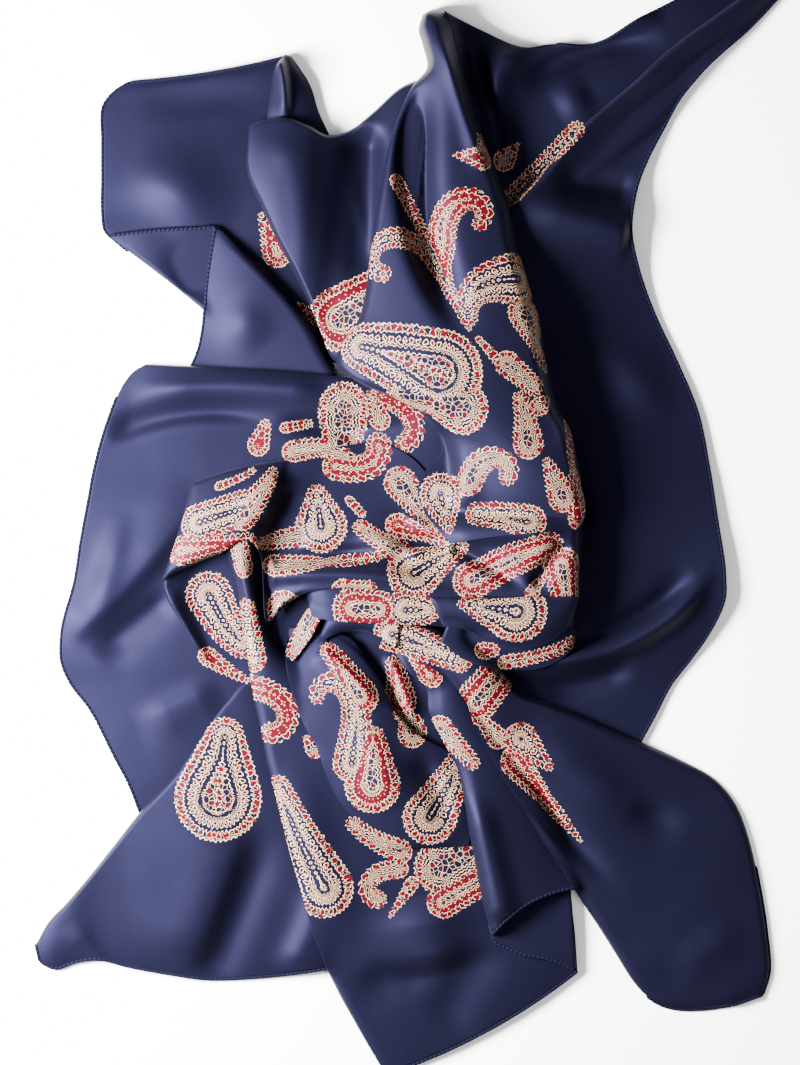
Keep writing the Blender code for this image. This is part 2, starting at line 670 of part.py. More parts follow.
def sheet_points(stretch, across, along):
    """x, y, z and the section widths of a stretch, by its own table and before it is laid on anything."""
    rows = np.array(stretch.sections, float)
    section = Section(*sections_between(rows, along).T[:, :, None])
    run_x, run_y = section.right_x - section.left_x, section.right_y - section.left_y
    width = np.hypot(run_x, run_y)
    arch = 4 * across * (1 - across)
    x = section.left_x + run_x * across + run_y / width * section.bow * arch
    y = section.left_y + run_y * across - run_x / width * section.bow * arch
    z = section.left_z + (section.right_z - section.left_z) * across + section.crown * arch
    for row in stretch.folds:
        z = z + fold_height(Fold(*row), x, y)
    return x, y, z, width


def facet_probes():
    """Weights of a facet's four corners at a lattice of points over its two triangles."""
    s, t = np.meshgrid(np.linspace(0, 1, PROBES), np.linspace(0, 1, PROBES))
    s, t = s.ravel(), t.ravel()
    near_side = s >= t
    here = np.where(near_side, 1 - s, 1 - t)
    beside = np.where(near_side, s - t, 0)
    ahead = np.where(near_side, 0, t - s)
    across = np.where(near_side, t, s)
    return np.array([here, beside, ahead, across])


def corners(grid):
    """The four corner values of each facet of a grid of points."""
    return np.array([grid[:-1, :-1], grid[:-1, 1:], grid[1:, :-1], grid[1:, 1:]])


def at_probes(grid, weights):
    """A grid of values, worked out at every probe of every facet."""
    return np.einsum("cij,cp->ijp", corners(grid), weights)


def wall_height(x, y, z):
    """The wall's thickness measured upright, which is more where the cloth is steep."""
    x_along, x_across = np.gradient(x)
    y_along, y_across = np.gradient(y)
    z_along, z_across = np.gradient(z)
    plan = np.abs(x_along * y_across - x_across * y_along) + 1e-9
    lean_x = z_along * y_across - z_across * y_along
    lean_y = z_along * x_across - z_across * x_along
    slope = np.hypot(lean_x, lean_y) / plan
    return WALL * np.minimum(np.sqrt(1 + slope**2), STEEPEST)


def laid(stretch, table):
    """x, y, top and underside of a stretch, resting on the table and the cloth already there."""
    rows = np.array(stretch.sections, float)
    run = side_gaps(rows).sum()
    widest = np.hypot(rows[:, 2] - rows[:, 0], rows[:, 3] - rows[:, 1]).max()
    side_count = max(FEWEST_SIDE, round(widest / SIDE_STEP))
    length_count = max(FEWEST_LENGTH, round(run / LENGTH_STEP))
    across = crowded(side_count, stretch.left, stretch.right)[None, :]
    along = crowded(length_count, stretch.first, stretch.last)
    x, y, z, width = sheet_points(stretch, across, along)

    rest = read_grid(table.softened(SOFTEN), x, y) + SEAT_GAP
    base = rest + WALL
    z = (z + base + np.sqrt((z - base) ** 2 + 1.0)) / 2
    along = along[:, None]
    keep = roll_off(along * run, stretch.first) * roll_off((1 - along) * run, stretch.last)
    keep = keep * roll_off(across * width, stretch.left) * roll_off((1 - across) * width, stretch.right)
    z = base + (z - base) * keep

    under = np.maximum(z - wall_height(x, y, z), 0.0)
    lift = clearing_lift(x, y, under, table)
    return x, y, z + lift, under + lift


def clearing_lift(x, y, under, table):
    """How far each point has to rise, or may sink, for the underside to rest just clear of the cloth below."""
    weights = facet_probes()
    share = weights / (weights**2).sum(axis=0)
    probe_x, probe_y = at_probes(x, weights), at_probes(y, weights)
    below = highest_near(table.spread(1), probe_x, probe_y)
    floor = np.where(below > 0, below + SEAT_GAP, 0.0)
    lift = np.zeros_like(under)
    for turn in range(LIFT_PASSES):
        short = floor - at_probes(under + lift, weights)
        if short.max() <= 0:
            break
        last_turn = turn == LIFT_PASSES - 1
        raised = np.zeros_like(under)
        for corner, rows, columns in ((0, 0, 0), (1, 0, 1), (2, 1, 0), (3, 1, 1)):
            if last_turn:
                need = np.where(weights[corner] > 0, short, 0).max(axis=2)
            else:
                need = (short * share[corner]).max(axis=2)
            target = raised[rows : rows + need.shape[0], columns : columns + need.shape[1]]
            np.maximum(target, need, out=target)
        lift = lift + raised
    spare = (at_probes(under + lift, weights) - floor).min()
    return lift - max(spare, 0.0)


def solid_from(name, colour, x, y, top, under):
    """One closed body between a top and an underside that share their outline."""
    rows, columns = x.shape
    mesh = bmesh.new()
    bmesh.ops.create_grid(mesh, x_segments=columns - 1, y_segments=rows - 1, size=1.0)
    bmesh.ops.triangulate(mesh, faces=mesh.faces[:], quad_method="FIXED")
    mesh.verts.ensure_lookup_table()
    upper = list(mesh.verts)
    grown = bmesh.ops.extrude_face_region(mesh, geom=mesh.faces[:], use_keep_orig=True)
    lower = [item for item in grown["geom"] if isinstance(item, bmesh.types.BMVert)]
    lower.sort(key=lambda vert: (round(vert.co.y, 6), round(vert.co.x, 6)))
    upper.sort(key=lambda vert: (round(vert.co.y, 6), round(vert.co.x, 6)))
    place_x, place_y = (x - CENTRE_X) * UNIT, (CENTRE_Y - y) * UNIT
    for verts, height in ((upper, top), (lower, under)):
        for vert, *place in zip(verts, place_x.ravel(), place_y.ravel(), height.ravel() * UNIT):
            vert.co = place
    bmesh.ops.recalc_face_normals(mesh, faces=mesh.faces[:])
    data = bpy.data.meshes.new(name)
    mesh.to_mesh(data)
    mesh.free()
    data.materials.append(silk(name, colour))
    for polygon in data.polygons:
        polygon.use_smooth = True
    data.set_sharp_from_angle(angle=np.radians(50))
    return bpy.data.objects.new(name, data)


def silk(name, colour):
    """The satin finish of one stretch."""
    material = bpy.data.materials.new(name + "_silk")
    material.use_nodes = True
    shader = material.node_tree.nodes["Principled BSDF"]
    shader.inputs["Base Color"].default_value = (*colour, 1.0)
    shader.inputs["Roughness"].default_value = 0.42
    shader.inputs["Metallic"].default_value = 0.0
    return material


def mound_stations(width, step):
    """Shares across the mound, with its layered edges on both sides."""
    insets = np.array(LAYER_INSETS)
    middle = np.linspace(insets[-1], width - insets[-1], max(3, round(width / step)) + 1)[1:-1]
    return np.concatenate([insets, middle, width - insets[::-1]]) / width


def layered_cap(inset):
    """The most that the mound's height may be at a distance in from its outline."""
    return np.where(inset >= LAYER_INSETS[-1] - 0.01, np.inf, np.interp(inset, LAYER_INSETS, LAYER_TOPS))


def mound():
    """x, y, top and underside of the hidden layers: flat below, rounded above, stepped round the edge."""
    rows = np.array(MOUND.sections, float)
    run = side_gaps(rows).sum()
    widest = np.hypot(rows[:, 2] - rows[:, 0], rows[:, 3] - rows[:, 1]).max()
    across = mound_stations(widest, 1.4 * SIDE_STEP)[None, :]
    along = mound_stations(run, 1.6 * LENGTH_STEP)
    x, y, z, _ = sheet_points(MOUND, across, along)
    side = np.minimum(across, 1 - across) * widest
    end = (np.minimum(along, 1 - along) * run)[:, None]
    top = np.minimum(z + LAYER_TOPS[-1], layered_cap(np.minimum(side, end)))
    return x, y, top, np.zeros_like(top)


def main():
    for old in list(bpy.data.objects):
        bpy.data.objects.remove(old)
    scarf = bpy.data.collections.new("silk_scarf")
    bpy.context.scene.collection.children.link(scarf)
    table = Table()
    weights = facet_probes()
    x, y, top, under = mound()
    table.add(at_probes(x, weights), at_probes(y, weights), at_probes(top, weights))
    scarf.objects.link(solid_from(MOUND.name, MOUND.colour, x, y, top, under))
    for stretch in STRETCHES:
        x, y, top, under = laid(stretch, table)
        table.add(at_probes(x, weights), at_probes(y, weights), at_probes(top, weights))
        scarf.objects.link(solid_from(stretch.name, stretch.colour, x, y, top, under))


main()
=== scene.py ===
"""Dresses a silk scarf that lies in a heap: printed silk twill, rolled hems with stitches, and the studio.

Each stretch of cloth is a thin shell on the form of its solid, with finer folds and a finer grid, and they
are laid in the same order. They are drawn on a chart seen from straight above: x to the right, y towards the
viewer's feet, heights up from the table, all in millimetres.
"""

from __future__ import annotations

import sys
import logging
import math
from collections.abc import Callable
from dataclasses import dataclass
from enum import Enum
from functools import reduce
from typing import NamedTuple

import bmesh
import bpy
import numpy as np
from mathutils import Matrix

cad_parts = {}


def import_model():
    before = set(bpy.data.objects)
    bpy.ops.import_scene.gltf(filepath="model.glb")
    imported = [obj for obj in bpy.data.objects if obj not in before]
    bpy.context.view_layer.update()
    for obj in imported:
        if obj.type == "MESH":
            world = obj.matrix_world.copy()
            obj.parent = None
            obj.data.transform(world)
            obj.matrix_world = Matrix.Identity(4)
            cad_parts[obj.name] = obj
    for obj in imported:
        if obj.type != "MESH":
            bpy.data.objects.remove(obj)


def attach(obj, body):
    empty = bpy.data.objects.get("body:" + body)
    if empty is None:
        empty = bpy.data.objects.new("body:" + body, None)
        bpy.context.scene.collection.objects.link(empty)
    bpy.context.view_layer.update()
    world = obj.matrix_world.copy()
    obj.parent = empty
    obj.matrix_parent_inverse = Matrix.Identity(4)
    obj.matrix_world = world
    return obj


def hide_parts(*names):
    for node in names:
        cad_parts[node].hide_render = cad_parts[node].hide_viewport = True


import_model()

log = logging.getLogger("scarf")

Array = np.ndarray
Socket = bpy.types.NodeSocket

MM = 0.001  # metres in one unit of the chart
CENTRE_X, CENTRE_Y = 317.0, 383.0  # the chart's point above the part's origin
VIEW_X, VIEW_Y = 300.0, 399.4  # the chart's point at the middle of the camera's view
VIEW_HEIGHT = 798.8  # how much of the chart's y the camera takes in

WALL = 0.5  # thickness of a shell
SEAT_GAP = 0.3  # between a shell and what it lies on
SEAT_BLEND = 1.0  # how softly a stretch settles on what it touches
GRID_STEP = 2.3  # size of a facet
ROLL_FACETS = 5  # facets round a rolled edge
FOLD_FALL = 1.4  # how steeply a fold falls away to its sides
SWELLS = ((113.0, 0.34), (61.0, 0.12), (31.0, 0.03))  # lengths and heights of the cloth's uneven swell

CELL = 1.0  # grid on which the laid cloth is measured
GRID_LEFT, GRID_TOP = 0.0, -70.0
GRID_COLUMNS, GRID_ROWS = 650, 910
FACET_SHARES = (0.125, 0.375, 0.625, 0.875)  # where a facet is measured, across and along it
SOFTEN = 5  # cells over which a stretch bridges what is under it

HEM_RADIUS = 1.35  # half the width of a rolled hem
HEM_DROP = 0.3  # how far its middle lies below the cloth's face, in radii
HEM_PINCH = 0.14  # how much a stitch takes off its radius
HEM_HEIGHT = 0.82  # its height in proportion to its width
HEM_FACETS = 8  # facets round it
HEM_CLEARANCE = 0.05  # between it and the table
HEM_TIP = 0.05  # how far in its round ends start, in radii
STITCH_PITCH = 3.4  # from one hem stitch to the next
UV_SCALE = 0.01  # UV units in a millimetre


class Section(NamedTuple):
    """One section of a stretch, from its left point to its right point.

    bow is how far it bows to the viewer's left of that direction, and crown how far its middle rises.
    """

    left_x: float
    left_y: float
    right_x: float
    right_y: float
    bow: float
    left_z: float
    right_z: float
    crown: float


class Fold(NamedTuple):
    """One ridge, or trough where its height is below 0, with its width on either side and its fades."""

    x1: float
    y1: float
    x2: float
    y2: float
    bend: float
    left: float
    right: float
    height: float
    fade_in: float
    fade_out: float


class Rolls(NamedTuple):
    """The radii to which the edges of a stretch are rolled under. 0 leaves an edge plain."""

    first: float = 0.0
    last: float = 0.0
    left: float = 0.0
    right: float = 0.0


class Pattern(Enum):
    """The fillings that a paisley can have."""

    LACY = 0
    BEADED = 1
    RED = 2


class Paisley(NamedTuple):
    """One printed paisley, along a curved axis from its round head to its tip.

    turn is how far the axis turns to the viewer's left, in degrees, and curl how late along it that happens.
    """

    head_x: float
    head_y: float
    tip_x: float
    tip_y: float
    turn: float
    head_radius: float
    tip_radius: float
    pattern: Pattern
    curl: float = 1.0


class Hem(NamedTuple):
    """A rolled and stitched hem along part of one edge of a stretch: first, last, left or right."""

    edge: str
    start: float
    end: float


LACY, BEADED, RED = Pattern.LACY, Pattern.BEADED, Pattern.RED

# The layers that nothing shows: rows of Section, then of Fold.
MOUND = ((
    (322, 60, 340, 60, 0, 2, 2, 1), (308, 110, 360, 112, 0, 2, 2, 8), (300, 170, 374, 172, 0, 2, 2, 14),
    (295, 230, 390, 235, 0, 2, 2, 18), (285, 290, 408, 300, 0, 2, 2, 15), (262, 340, 422, 350, 0, 2, 2, 7),
    (240, 390, 424, 395, 0, 2, 2, 4), (228, 430, 422, 440, 0, 2, 2, 7), (224, 465, 416, 475, 0, 2, 2, 8),
    (228, 500, 390, 500, 0, 2, 2, 6), (236, 540, 370, 545, 0, 2, 2, 5), (248, 580, 358, 580, 0, 2, 2, 3),
    (266, 606, 344, 602, 0, 2, 2, 1),
), (
    (385, 360, 385, 440, 0, 26, 20, 12, 0.4, 0.4),
))

# Each stretch, in the order of laying: its Rolls, then rows of Section, then of Fold.
STRETCHES = {
    "top_left_corner": ((0, 0, 0, 0), (
        (97, 62, 215, 43, -3, 2, 6, 1), (86, 69, 224, 51, -1, 2, 7, 2), (78, 79, 232, 63, 0, 2, 7, 2),
        (77, 105, 239, 84, 0, 3, 6, 3), (77, 135, 250, 108, 0, 3, 6, 5), (77, 160, 262, 140, 0, 3, 6, 5),
        (79, 173, 272, 165, 0, 4, 5, 4), (87, 181, 282, 190, 0, 4, 4, 3), (118, 205, 292, 222, 0, 3, 4, 2),
        (152, 231, 300, 252, 0, 3, 3, 0), (190, 262, 300, 280, 0, 3, 3, 0),
    ), (
        (92, 120, 175, 175, 4, 30, 24, 8, 0.5, 0.5), (100, 80, 205, 70, 0, 14, 14, -2, 0.4, 0.4),
    )),
    "corner_curl": ((3, 0, 3, 5), (
        (214, 41, 219, 43, 0, 8, 8, 0), (207, 50, 225, 52, 0, 10, 7, 4), (204, 62, 232, 63, 0, 10, 7, 5),
        (202, 76, 237, 80, 0, 9, 7, 5), (200, 92, 242, 96, 0, 8, 7, 5), (199, 108, 246, 112, 0, 7, 6, 3),
    ), (
        (209, 44, 213, 100, 3, 4, 9, 9, 0.1, 0.4),
    )),
    "pleat_underside": ((2, 0, 0, 4), (
        (83, 177, 84, 179, 0, 6, 5, 0), (103, 175, 104, 194, 0, 9, 7, 0),
        (125, 173, 126, 211, 0, 10, 8, -1), (148, 172, 142, 224, 0, 11, 8, -4),
        (164, 172, 158, 237, 0, 12, 8, -5), (174, 180, 168, 246, 0, 10, 6, -3),
    ), (
        (130, 180, 150, 225, 0, 14, 14, -3, 0.4, 0.3),
    )),
    "upper_left_border": ((0, 0, 0, 11), (
        (162, 171, 166, 173, 0, 13, 13, 0), (159, 190, 186, 190, 0, 12, 17, 1),
        (156, 210, 207, 211, 0, 10, 18, 2), (154, 230, 225, 231, 0, 7, 18, 3),
        (152, 248, 238, 250, 0, 5, 16, 3), (149, 262, 247, 268, 0, 4, 14, 2),
        (143, 277, 258, 286, 0, 3, 11, 1), (138, 292, 266, 302, 0, 3, 6, 0),
    ), (
        (168, 225, 200, 262, 0, 18, 18, 4, 0.5, 0.5),
    )),
    "left_border": ((6, 0, 0, 0), (
        (110, 273, 262, 283, 1, 7, 16, 1), (99, 280, 300, 291, 1, 6, 18, 4),
        (90, 293, 330, 305, 0, 6, 18, 5), (84, 308, 345, 318, 0, 6, 14, 4),
        (77, 328, 350, 332, 0, 4, 10, 3), (72, 347, 350, 348, 0, 3, 10, 3), (66, 378, 320, 385, 0, 3, 9, 5),
        (61, 405, 290, 420, 0, 3, 8, 5), (56, 437, 265, 455, 0, 3, 8, 4), (46, 478, 250, 488, 0, 3, 8, 3),
        (46, 494, 245, 500, 0, 4, 8, 3), (53, 512, 235, 515, 0, 3, 8, 3), (68, 532, 225, 530, 0, 3, 7, 3),
        (86, 567, 215, 547, 0, 3, 6, 3), (97, 588, 205, 562, 0, 3, 5, 2), (107, 614, 200, 578, 0, 2, 4, 1),
    ), (
        (80, 328, 216, 317, 13, 14, 8, -6, 0.15, 0.4), (205, 316, 300, 330, 2, 6, 10, -9, 0.4, 0.1),
        (96, 296, 250, 296, 6, 12, 14, 6, 0.3, 0.2), (44, 484, 150, 365, -8, 26, 12, 7, 0.2, 0.4),
        (70, 494, 135, 440, 0, 10, 16, -5, 0.3, 0.3), (70, 470, 95, 380, 0, 12, 12, 3, 0.4, 0.4),
        (100, 545, 168, 515, 0, 12, 24, 4, 0.4, 0.3),
    )),
    "top_border": ((0, 0, 0, 0), (
        (333, 10, 378, 165, 0, 22, 12, 0), (345, 16, 388, 170, 0, 14, 10, -4),
        (362, 24, 400, 165, 0, 9, 9, 0), (391, 36, 420, 150, 0, 8, 8, 2), (412, 34, 442, 130, 0, 8, 8, 3),
        (444, 34, 472, 105, 0, 8, 8, 2), (480, 15, 507, 72, 0, 9, 8, 0), (507, 1, 540, 40, 0, 9, 8, 0),
        (530, -12, 565, 8, 0, 7, 6, 0), (555, -26, 585, -14, 0, 5, 5, 0), (582, -41, 598, -34, 0, 3, 4, 0),
    ), (
        (391, 30, 366, 108, -8, 14, 14, 9, 0.25, 0.3), (350, 30, 376, 110, 0, 9, 9, -6, 0.3, 0.3),
        (388, 66, 500, 28, 10, 9, 14, -8, 0.25, 0.35), (412, 38, 500, 12, 5, 8, 10, 7, 0.3, 0.3),
        (415, 85, 445, 68, 0, 18, 18, 4, 0.5, 0.5),
    )),
    "right_border": ((0, 0, 9, 0), (
        (592, -38, 607, -33, 0, 8, 2, 1), (575, -19, 598, -16, 0, 13, 3, 2), (553, 0, 582, 0, 0, 17, 3, 2),
        (531, 16, 570, 13, 0, 20, 3, 2), (510, 31, 558, 25, 0, 22, 3, 2), (490, 48, 544, 37, 0, 23, 3, 1),
        (472, 65, 531, 49, 0, 24, 3, 0), (452, 82, 520, 61, 0, 24, 3, -1), (434, 98, 509, 75, 0, 25, 3, -3),
        (419, 115, 497, 97, 0, 26, 4, -5), (406, 131, 486, 118, 0, 27, 6, -6),
        (394, 143, 478, 138, 0, 28, 9, -4), (383, 152, 474, 156, 0, 28, 13, 0),
        (368, 178, 473, 178, 0, 22, 12, 5), (372, 205, 479, 204, 0, 16, 6, 3),
        (380, 240, 491, 237, 0, 12, 3, 1), (388, 275, 507, 271, 0, 12, 3, 0),
        (396, 312, 523, 310, 0, 12, 3, 1), (404, 350, 531, 349, 0, 12, 4, 2),
        (408, 390, 537, 388, 0, 12, 6, 1), (408, 430, 543, 431, 0, 12, 8, -2),
        (402, 460, 542, 452, 0, 12, 8, -1), (390, 480, 531, 475, 0, 14, 5, 2),
        (378, 497, 517, 495, 0, 14, 3, 3), (375, 514, 503, 513, 0, 10, 3, 2),
        (385, 532, 491, 536, 0, 8, 3, 1), (400, 548, 480, 556, 0, 6, 3, 1),
        (415, 565, 470, 576, 0, 5, 3, 0),
    ), (
        (384, 156, 474, 178, 3, 14, 18, 6, 0.4, 0.1), (412, 132, 478, 146, 0, 12, 12, -5, 0.3, 0.2),
        (362, 496, 540, 425, -26, 10, 10, 12, 0.15, 0.25), (420, 487, 520, 425, -12, 12, 12, -7, 0.3, 0.3),
        (400, 518, 478, 498, -4, 10, 10, -5, 0.3, 0.3), (450, 250, 500, 330, 6, 20, 20, 5, 0.5, 0.5),
        (412, 300, 430, 440, 6, 16, 22, -5, 0.4, 0.4),
    )),
    "bottom_left_corner": ((0, 0, 4, 0), (
        (27, 708, 30, 721, 0, 3, 3, 0), (36, 692, 41, 726, 0, 5, 3, 2), (50, 677, 57, 721, 0, 7, 3, 2),
        (67, 657, 73, 719, 0, 8, 3, 1), (86, 633, 98, 725, 0, 9, 3, 2), (105, 609, 126, 730, 0, 10, 3, 4),
        (134, 578, 156, 734, 0, 11, 3, 5), (157, 544, 188, 733, 0, 12, 3, 4),
        (171, 525, 219, 730, 0, 12, 3, 3), (185, 510, 250, 725, 0, 12, 3, 2),
        (205, 500, 265, 721, 0, 10, 3, 1),
    ), (
        (132, 738, 182, 606, -4, 40, 18, 6, 0.3, 0.3), (153, 738, 202, 606, -4, 18, 18, -5, 0.15, 0.4),
        (214, 738, 248, 655, -4, 16, 34, 7, 0.3, 0.3), (52, 690, 84, 742, 2, 9, 14, 2, 0.3, 0.3),
    )),
    "loop_inside": ((0, 0, 3, 0), (
        (124, 430, 186, 400, 0, 18, 12, -2), (123, 440, 190, 424, 0, 18, 9, -4),
        (126, 450, 192, 440, 0, 17, 9, -4), (136, 467, 195, 460, 0, 16, 9, -4),
        (146, 484, 198, 478, 0, 15, 9, -3), (158, 500, 201, 496, 0, 13, 9, -2),
        (174, 508, 204, 508, 0, 12, 10, 0), (190, 515, 210, 518, 0, 12, 10, 0),
    ), (
        (128, 440, 160, 498, -4, 5, 10, 3, 0.2, 0.3), (152, 418, 176, 500, -4, 16, 18, -5, 0.2, 0.2),
    )),
    "front_panel": ((0, 0, 7, 0), (
        (167, 404, 197, 396, 0, 20, 20, 8), (171, 418, 194, 414, 0, 22, 20, 9),
        (177, 435, 194, 435, 0, 22, 18, 9), (180, 452, 198, 454, 0, 20, 17, 9),
        (183, 478, 206, 478, 0, 19, 14, 8), (187, 500, 218, 493, 0, 18, 12, 8),
        (190, 520, 240, 505, 0, 18, 10, 7), (195, 543, 285, 522, 0, 18, 8, 5),
        (201, 573, 330, 548, 0, 17, 8, 5), (209, 605, 345, 580, 0, 16, 8, 4),
        (217, 637, 360, 605, 0, 15, 8, 3), (226, 668, 382, 625, 0, 13, 8, 2),
        (235, 699, 405, 645, 0, 11, 8, 1), (250, 737, 425, 662, 0, 8, 8, 2),
        (268, 770, 430, 690, -2, 5, 7, 3), (289, 806, 433, 728, -7, 2, 4, 2),
    ), (
        (215, 560, 262, 720, 0, 18, 14, 4, 0.4, 0.4), (318, 668, 330, 732, 0, 30, 38, 8, 0.4, 0.3),
        (262, 742, 334, 734, 6, 14, 20, -4, 0.4, 0.4), (372, 700, 330, 780, -6, 22, 20, -4, 0.3, 0.3),
    )),
    "rolled_edge_inside": ((0, 3, 0, 0), (
        (366, 694, 369, 704, 0, 10, 8, 0), (378, 680, 378, 709, 0, 11, 9, 0),
        (392, 668, 392, 715, 0, 11, 10, -1), (408, 660, 408, 718, 0, 11, 9, -2),
        (420, 655, 421, 722, 0, 11, 8, -2), (427, 655, 432, 727, 0, 10, 7, 0),
    ), ()),
    "mouth_fold": ((0, 0, 0, 0), (
        (240, 472, 300, 466, 0, 8, 13, -2), (246, 488, 312, 486, 0, 8, 14, -3),
        (258, 504, 322, 505, 0, 10, 17, 0), (272, 520, 328, 522, 0, 12, 16, 2),
        (286, 540, 332, 540, 0, 12, 14, 2), (296, 560, 340, 564, 0, 10, 12, 1),
    ), (
        (288, 486, 312, 545, 2, 7, 7, 7, 0.2, 0.3),
    )),
    "front_fold": ((3, 8, 5, 0), (
        (217, 470, 264, 478, 4, 12, 20, 2), (215, 487, 284, 508, 14, 15, 23, 5),
        (216, 504, 300, 537, 11, 18, 22, 8), (219, 516, 312, 549, 6, 20, 20, 8),
        (223, 528, 328, 558, 3, 20, 18, 8), (230, 547, 342, 567, 0, 20, 15, 8),
        (237, 558, 347, 576, 0, 20, 13, 8), (243, 575, 352, 585, 0, 19, 12, 8),
        (254, 599, 354, 600, 0, 18, 11, 8), (267, 615, 355, 613, 0, 17, 10, 7),
        (278, 628, 354, 624, 0, 16, 10, 5), (290, 637, 352, 634, 0, 15, 10, 3),
    ), (
        (240, 484, 288, 530, 0, 6, 10, 5, 0.1, 0.3), (268, 530, 300, 610, 0, 16, 16, 5, 0.4, 0.4),
        (310, 560, 338, 625, 4, 8, 14, -5, 0.3, 0.3),
    )),
    "open_roll": ((0, 0, 11, 0), (
        (290, 480, 302, 472, 0, 18, 22, 2), (306, 503, 326, 491, 0, 20, 24, 4),
        (319, 515, 346, 507, 0, 21, 24, 5), (322, 535, 358, 534, 0, 20, 22, 5),
        (332, 555, 368, 552, 0, 20, 20, 4), (343, 576, 384, 572, 0, 22, 16, 3),
        (348, 600, 400, 596, 0, 24, 14, 3), (352, 624, 414, 622, 0, 24, 12, 3),
        (358, 656, 426, 646, 0, 23, 11, 3), (363, 680, 432, 660, 3, 22, 11, 3),
        (369, 700, 434, 665, 8, 20, 12, 3),
    ), (
        (352, 590, 378, 690, 2, 12, 16, 5, 0.3, 0.1), (300, 488, 335, 514, 0, 8, 8, 4, 0.3, 0.4),
    )),
    "bottom_right_corner": ((0, 0, 6, 7), (
        (292, 462, 284, 487, 0, 26, 24, 4), (310, 466, 304, 491, 0, 28, 25, 5),
        (330, 472, 322, 499, 0, 30, 26, 6), (350, 484, 337, 511, 0, 31, 27, 7),
        (372, 500, 349, 525, 0, 30, 27, 7), (392, 519, 355, 542, 0, 25, 26, 4),
        (415, 528, 363, 558, 0, 20, 24, 2), (428, 533, 377, 582, 0, 17, 21, 2),
        (440, 538, 393, 607, 0, 15, 18, 2), (460, 547, 408, 632, 0, 12, 15, 3),
        (480, 556, 424, 656, 0, 9, 12, 4), (508, 569, 437, 677, 0, 6, 9, 5),
        (535, 584, 450, 697, 0, 4, 7, 5), (551, 602, 462, 716, 0, 4, 5, 5),
        (562, 630, 474, 735, 0, 4, 4, 5), (569, 662, 485, 747, 0, 4, 3, 4),
        (575, 700, 503, 756, 0, 4, 3, 3), (577, 728, 525, 757, 0, 4, 3, 2),
        (572, 746, 549, 754, 0, 3, 3, 0),
    ), (
        (336, 516, 472, 674, -5, 11, 9, -11, 0.2, 0.5), (352, 530, 440, 680, 2, 8, 8, 5, 0.2, 0.5),
        (395, 540, 480, 620, 0, 22, 22, 5, 0.4, 0.4), (470, 600, 515, 625, 0, 14, 18, -4, 0.5, 0.5),
        (500, 735, 560, 690, 0, 18, 18, 3, 0.4, 0.4),
    )),
    "top_lobe": ((4, 0, 4, 7), (
        (187, 96, 185, 122, 0, 18, 18, 1), (194, 92, 187, 135, 0, 19, 19, 2),
        (204, 90, 196, 155, 0, 20, 20, 4), (217, 90, 209, 183, 0, 21, 21, 5),
        (232, 95, 222, 207, 0, 20, 20, 5), (247, 102, 233, 230, 0, 16, 19, 2),
        (262, 98, 241, 250, 0, 13, 18, 0), (280, 84, 250, 270, 0, 13, 18, 2),
        (300, 66, 268, 276, 0, 15, 18, 6), (324, 58, 300, 268, 0, 18, 18, 6),
    ), (
        (212, 98, 236, 215, 6, 30, 16, 3, 0.2, 0.3), (277, 92, 273, 230, 2, 10, 22, -14, 0.15, 0.3),
    )),
    "mouth_rim": ((3, 0, 0, 3), (
        (246, 461, 238, 483, 0, 26, 22, 1), (254, 457, 250, 476, 0, 27, 24, 3),
        (266, 457, 264, 473, 0, 28, 24, 4), (277, 459, 276, 474, 0, 28, 24, 4),
        (288, 462, 287, 478, 0, 28, 25, 3), (300, 465, 298, 486, 0, 28, 26, 2),
    ), ()),
    "lace_strip": ((3, 4, 3, 3), (
        (240, 448, 250, 456, 0, 18, 20, 3), (232, 455, 241, 464, 0, 18, 19, 4),
        (224, 467, 235, 475, 0, 17, 18, 4), (217, 481, 227, 487, 0, 16, 17, 4),
        (214, 492, 220, 496, 0, 15, 15, 2),
    ), ()),
    "left_band": ((5, 0, 0, 5), (
        (228, 436, 234, 462, 0, 22, 20, 2), (240, 432, 247, 465, 0, 26, 26, 3),
        (258, 431, 262, 466, 0, 27, 28, 4), (280, 433, 280, 467, 0, 28, 29, 4),
        (305, 436, 304, 468, 0, 29, 30, 4), (328, 438, 328, 469, 0, 30, 31, 4),
        (350, 440, 348, 472, 0, 31, 32, 3),
    ), ()),
    "under_strip": ((0, 5, 0, 6), (
        (338, 462, 330, 480, 0, 30, 28, 2), (352, 462, 348, 494, 0, 30, 26, 3),
        (372, 466, 372, 501, 0, 30, 24, 4), (388, 468, 388, 502, 0, 30, 24, 4),
        (403, 466, 404, 501, 0, 30, 24, 4), (414, 460, 418, 495, 0, 30, 24, 4),
        (420, 452, 428, 487, 0, 30, 24, 3), (423, 446, 434, 473, 0, 28, 24, 2),
    ), ()),
    "centre_bowl": ((5, 9, 4, 6), (
        (144, 362, 122, 436, 1, 20, 24, 4), (164, 355, 140, 426, 0, 22, 29, 6),
        (185, 349, 165, 416, 0, 22, 31, 6), (205, 346, 189, 406, 0, 20, 30, 6),
        (212, 345, 196, 416, 0, 19, 22, 3), (216, 344, 198, 438, 0, 18, 16, 0),
        (220, 343, 201, 466, 0, 17, 18, -2), (230, 341, 213, 455, 0, 16, 26, -5),
        (243, 338, 227, 446, 0, 15, 30, -8), (262, 334, 252, 441, 0, 14, 32, -9),
        (285, 332, 280, 442, 0, 12, 34, -9), (308, 343, 304, 445, 0, 10, 35, -8),
        (326, 362, 330, 448, 0, 12, 36, -3), (347, 382, 355, 451, 0, 24, 36, 2),
        (375, 388, 382, 453, 0, 32, 36, 3), (403, 386, 406, 453, 0, 36, 36, 4),
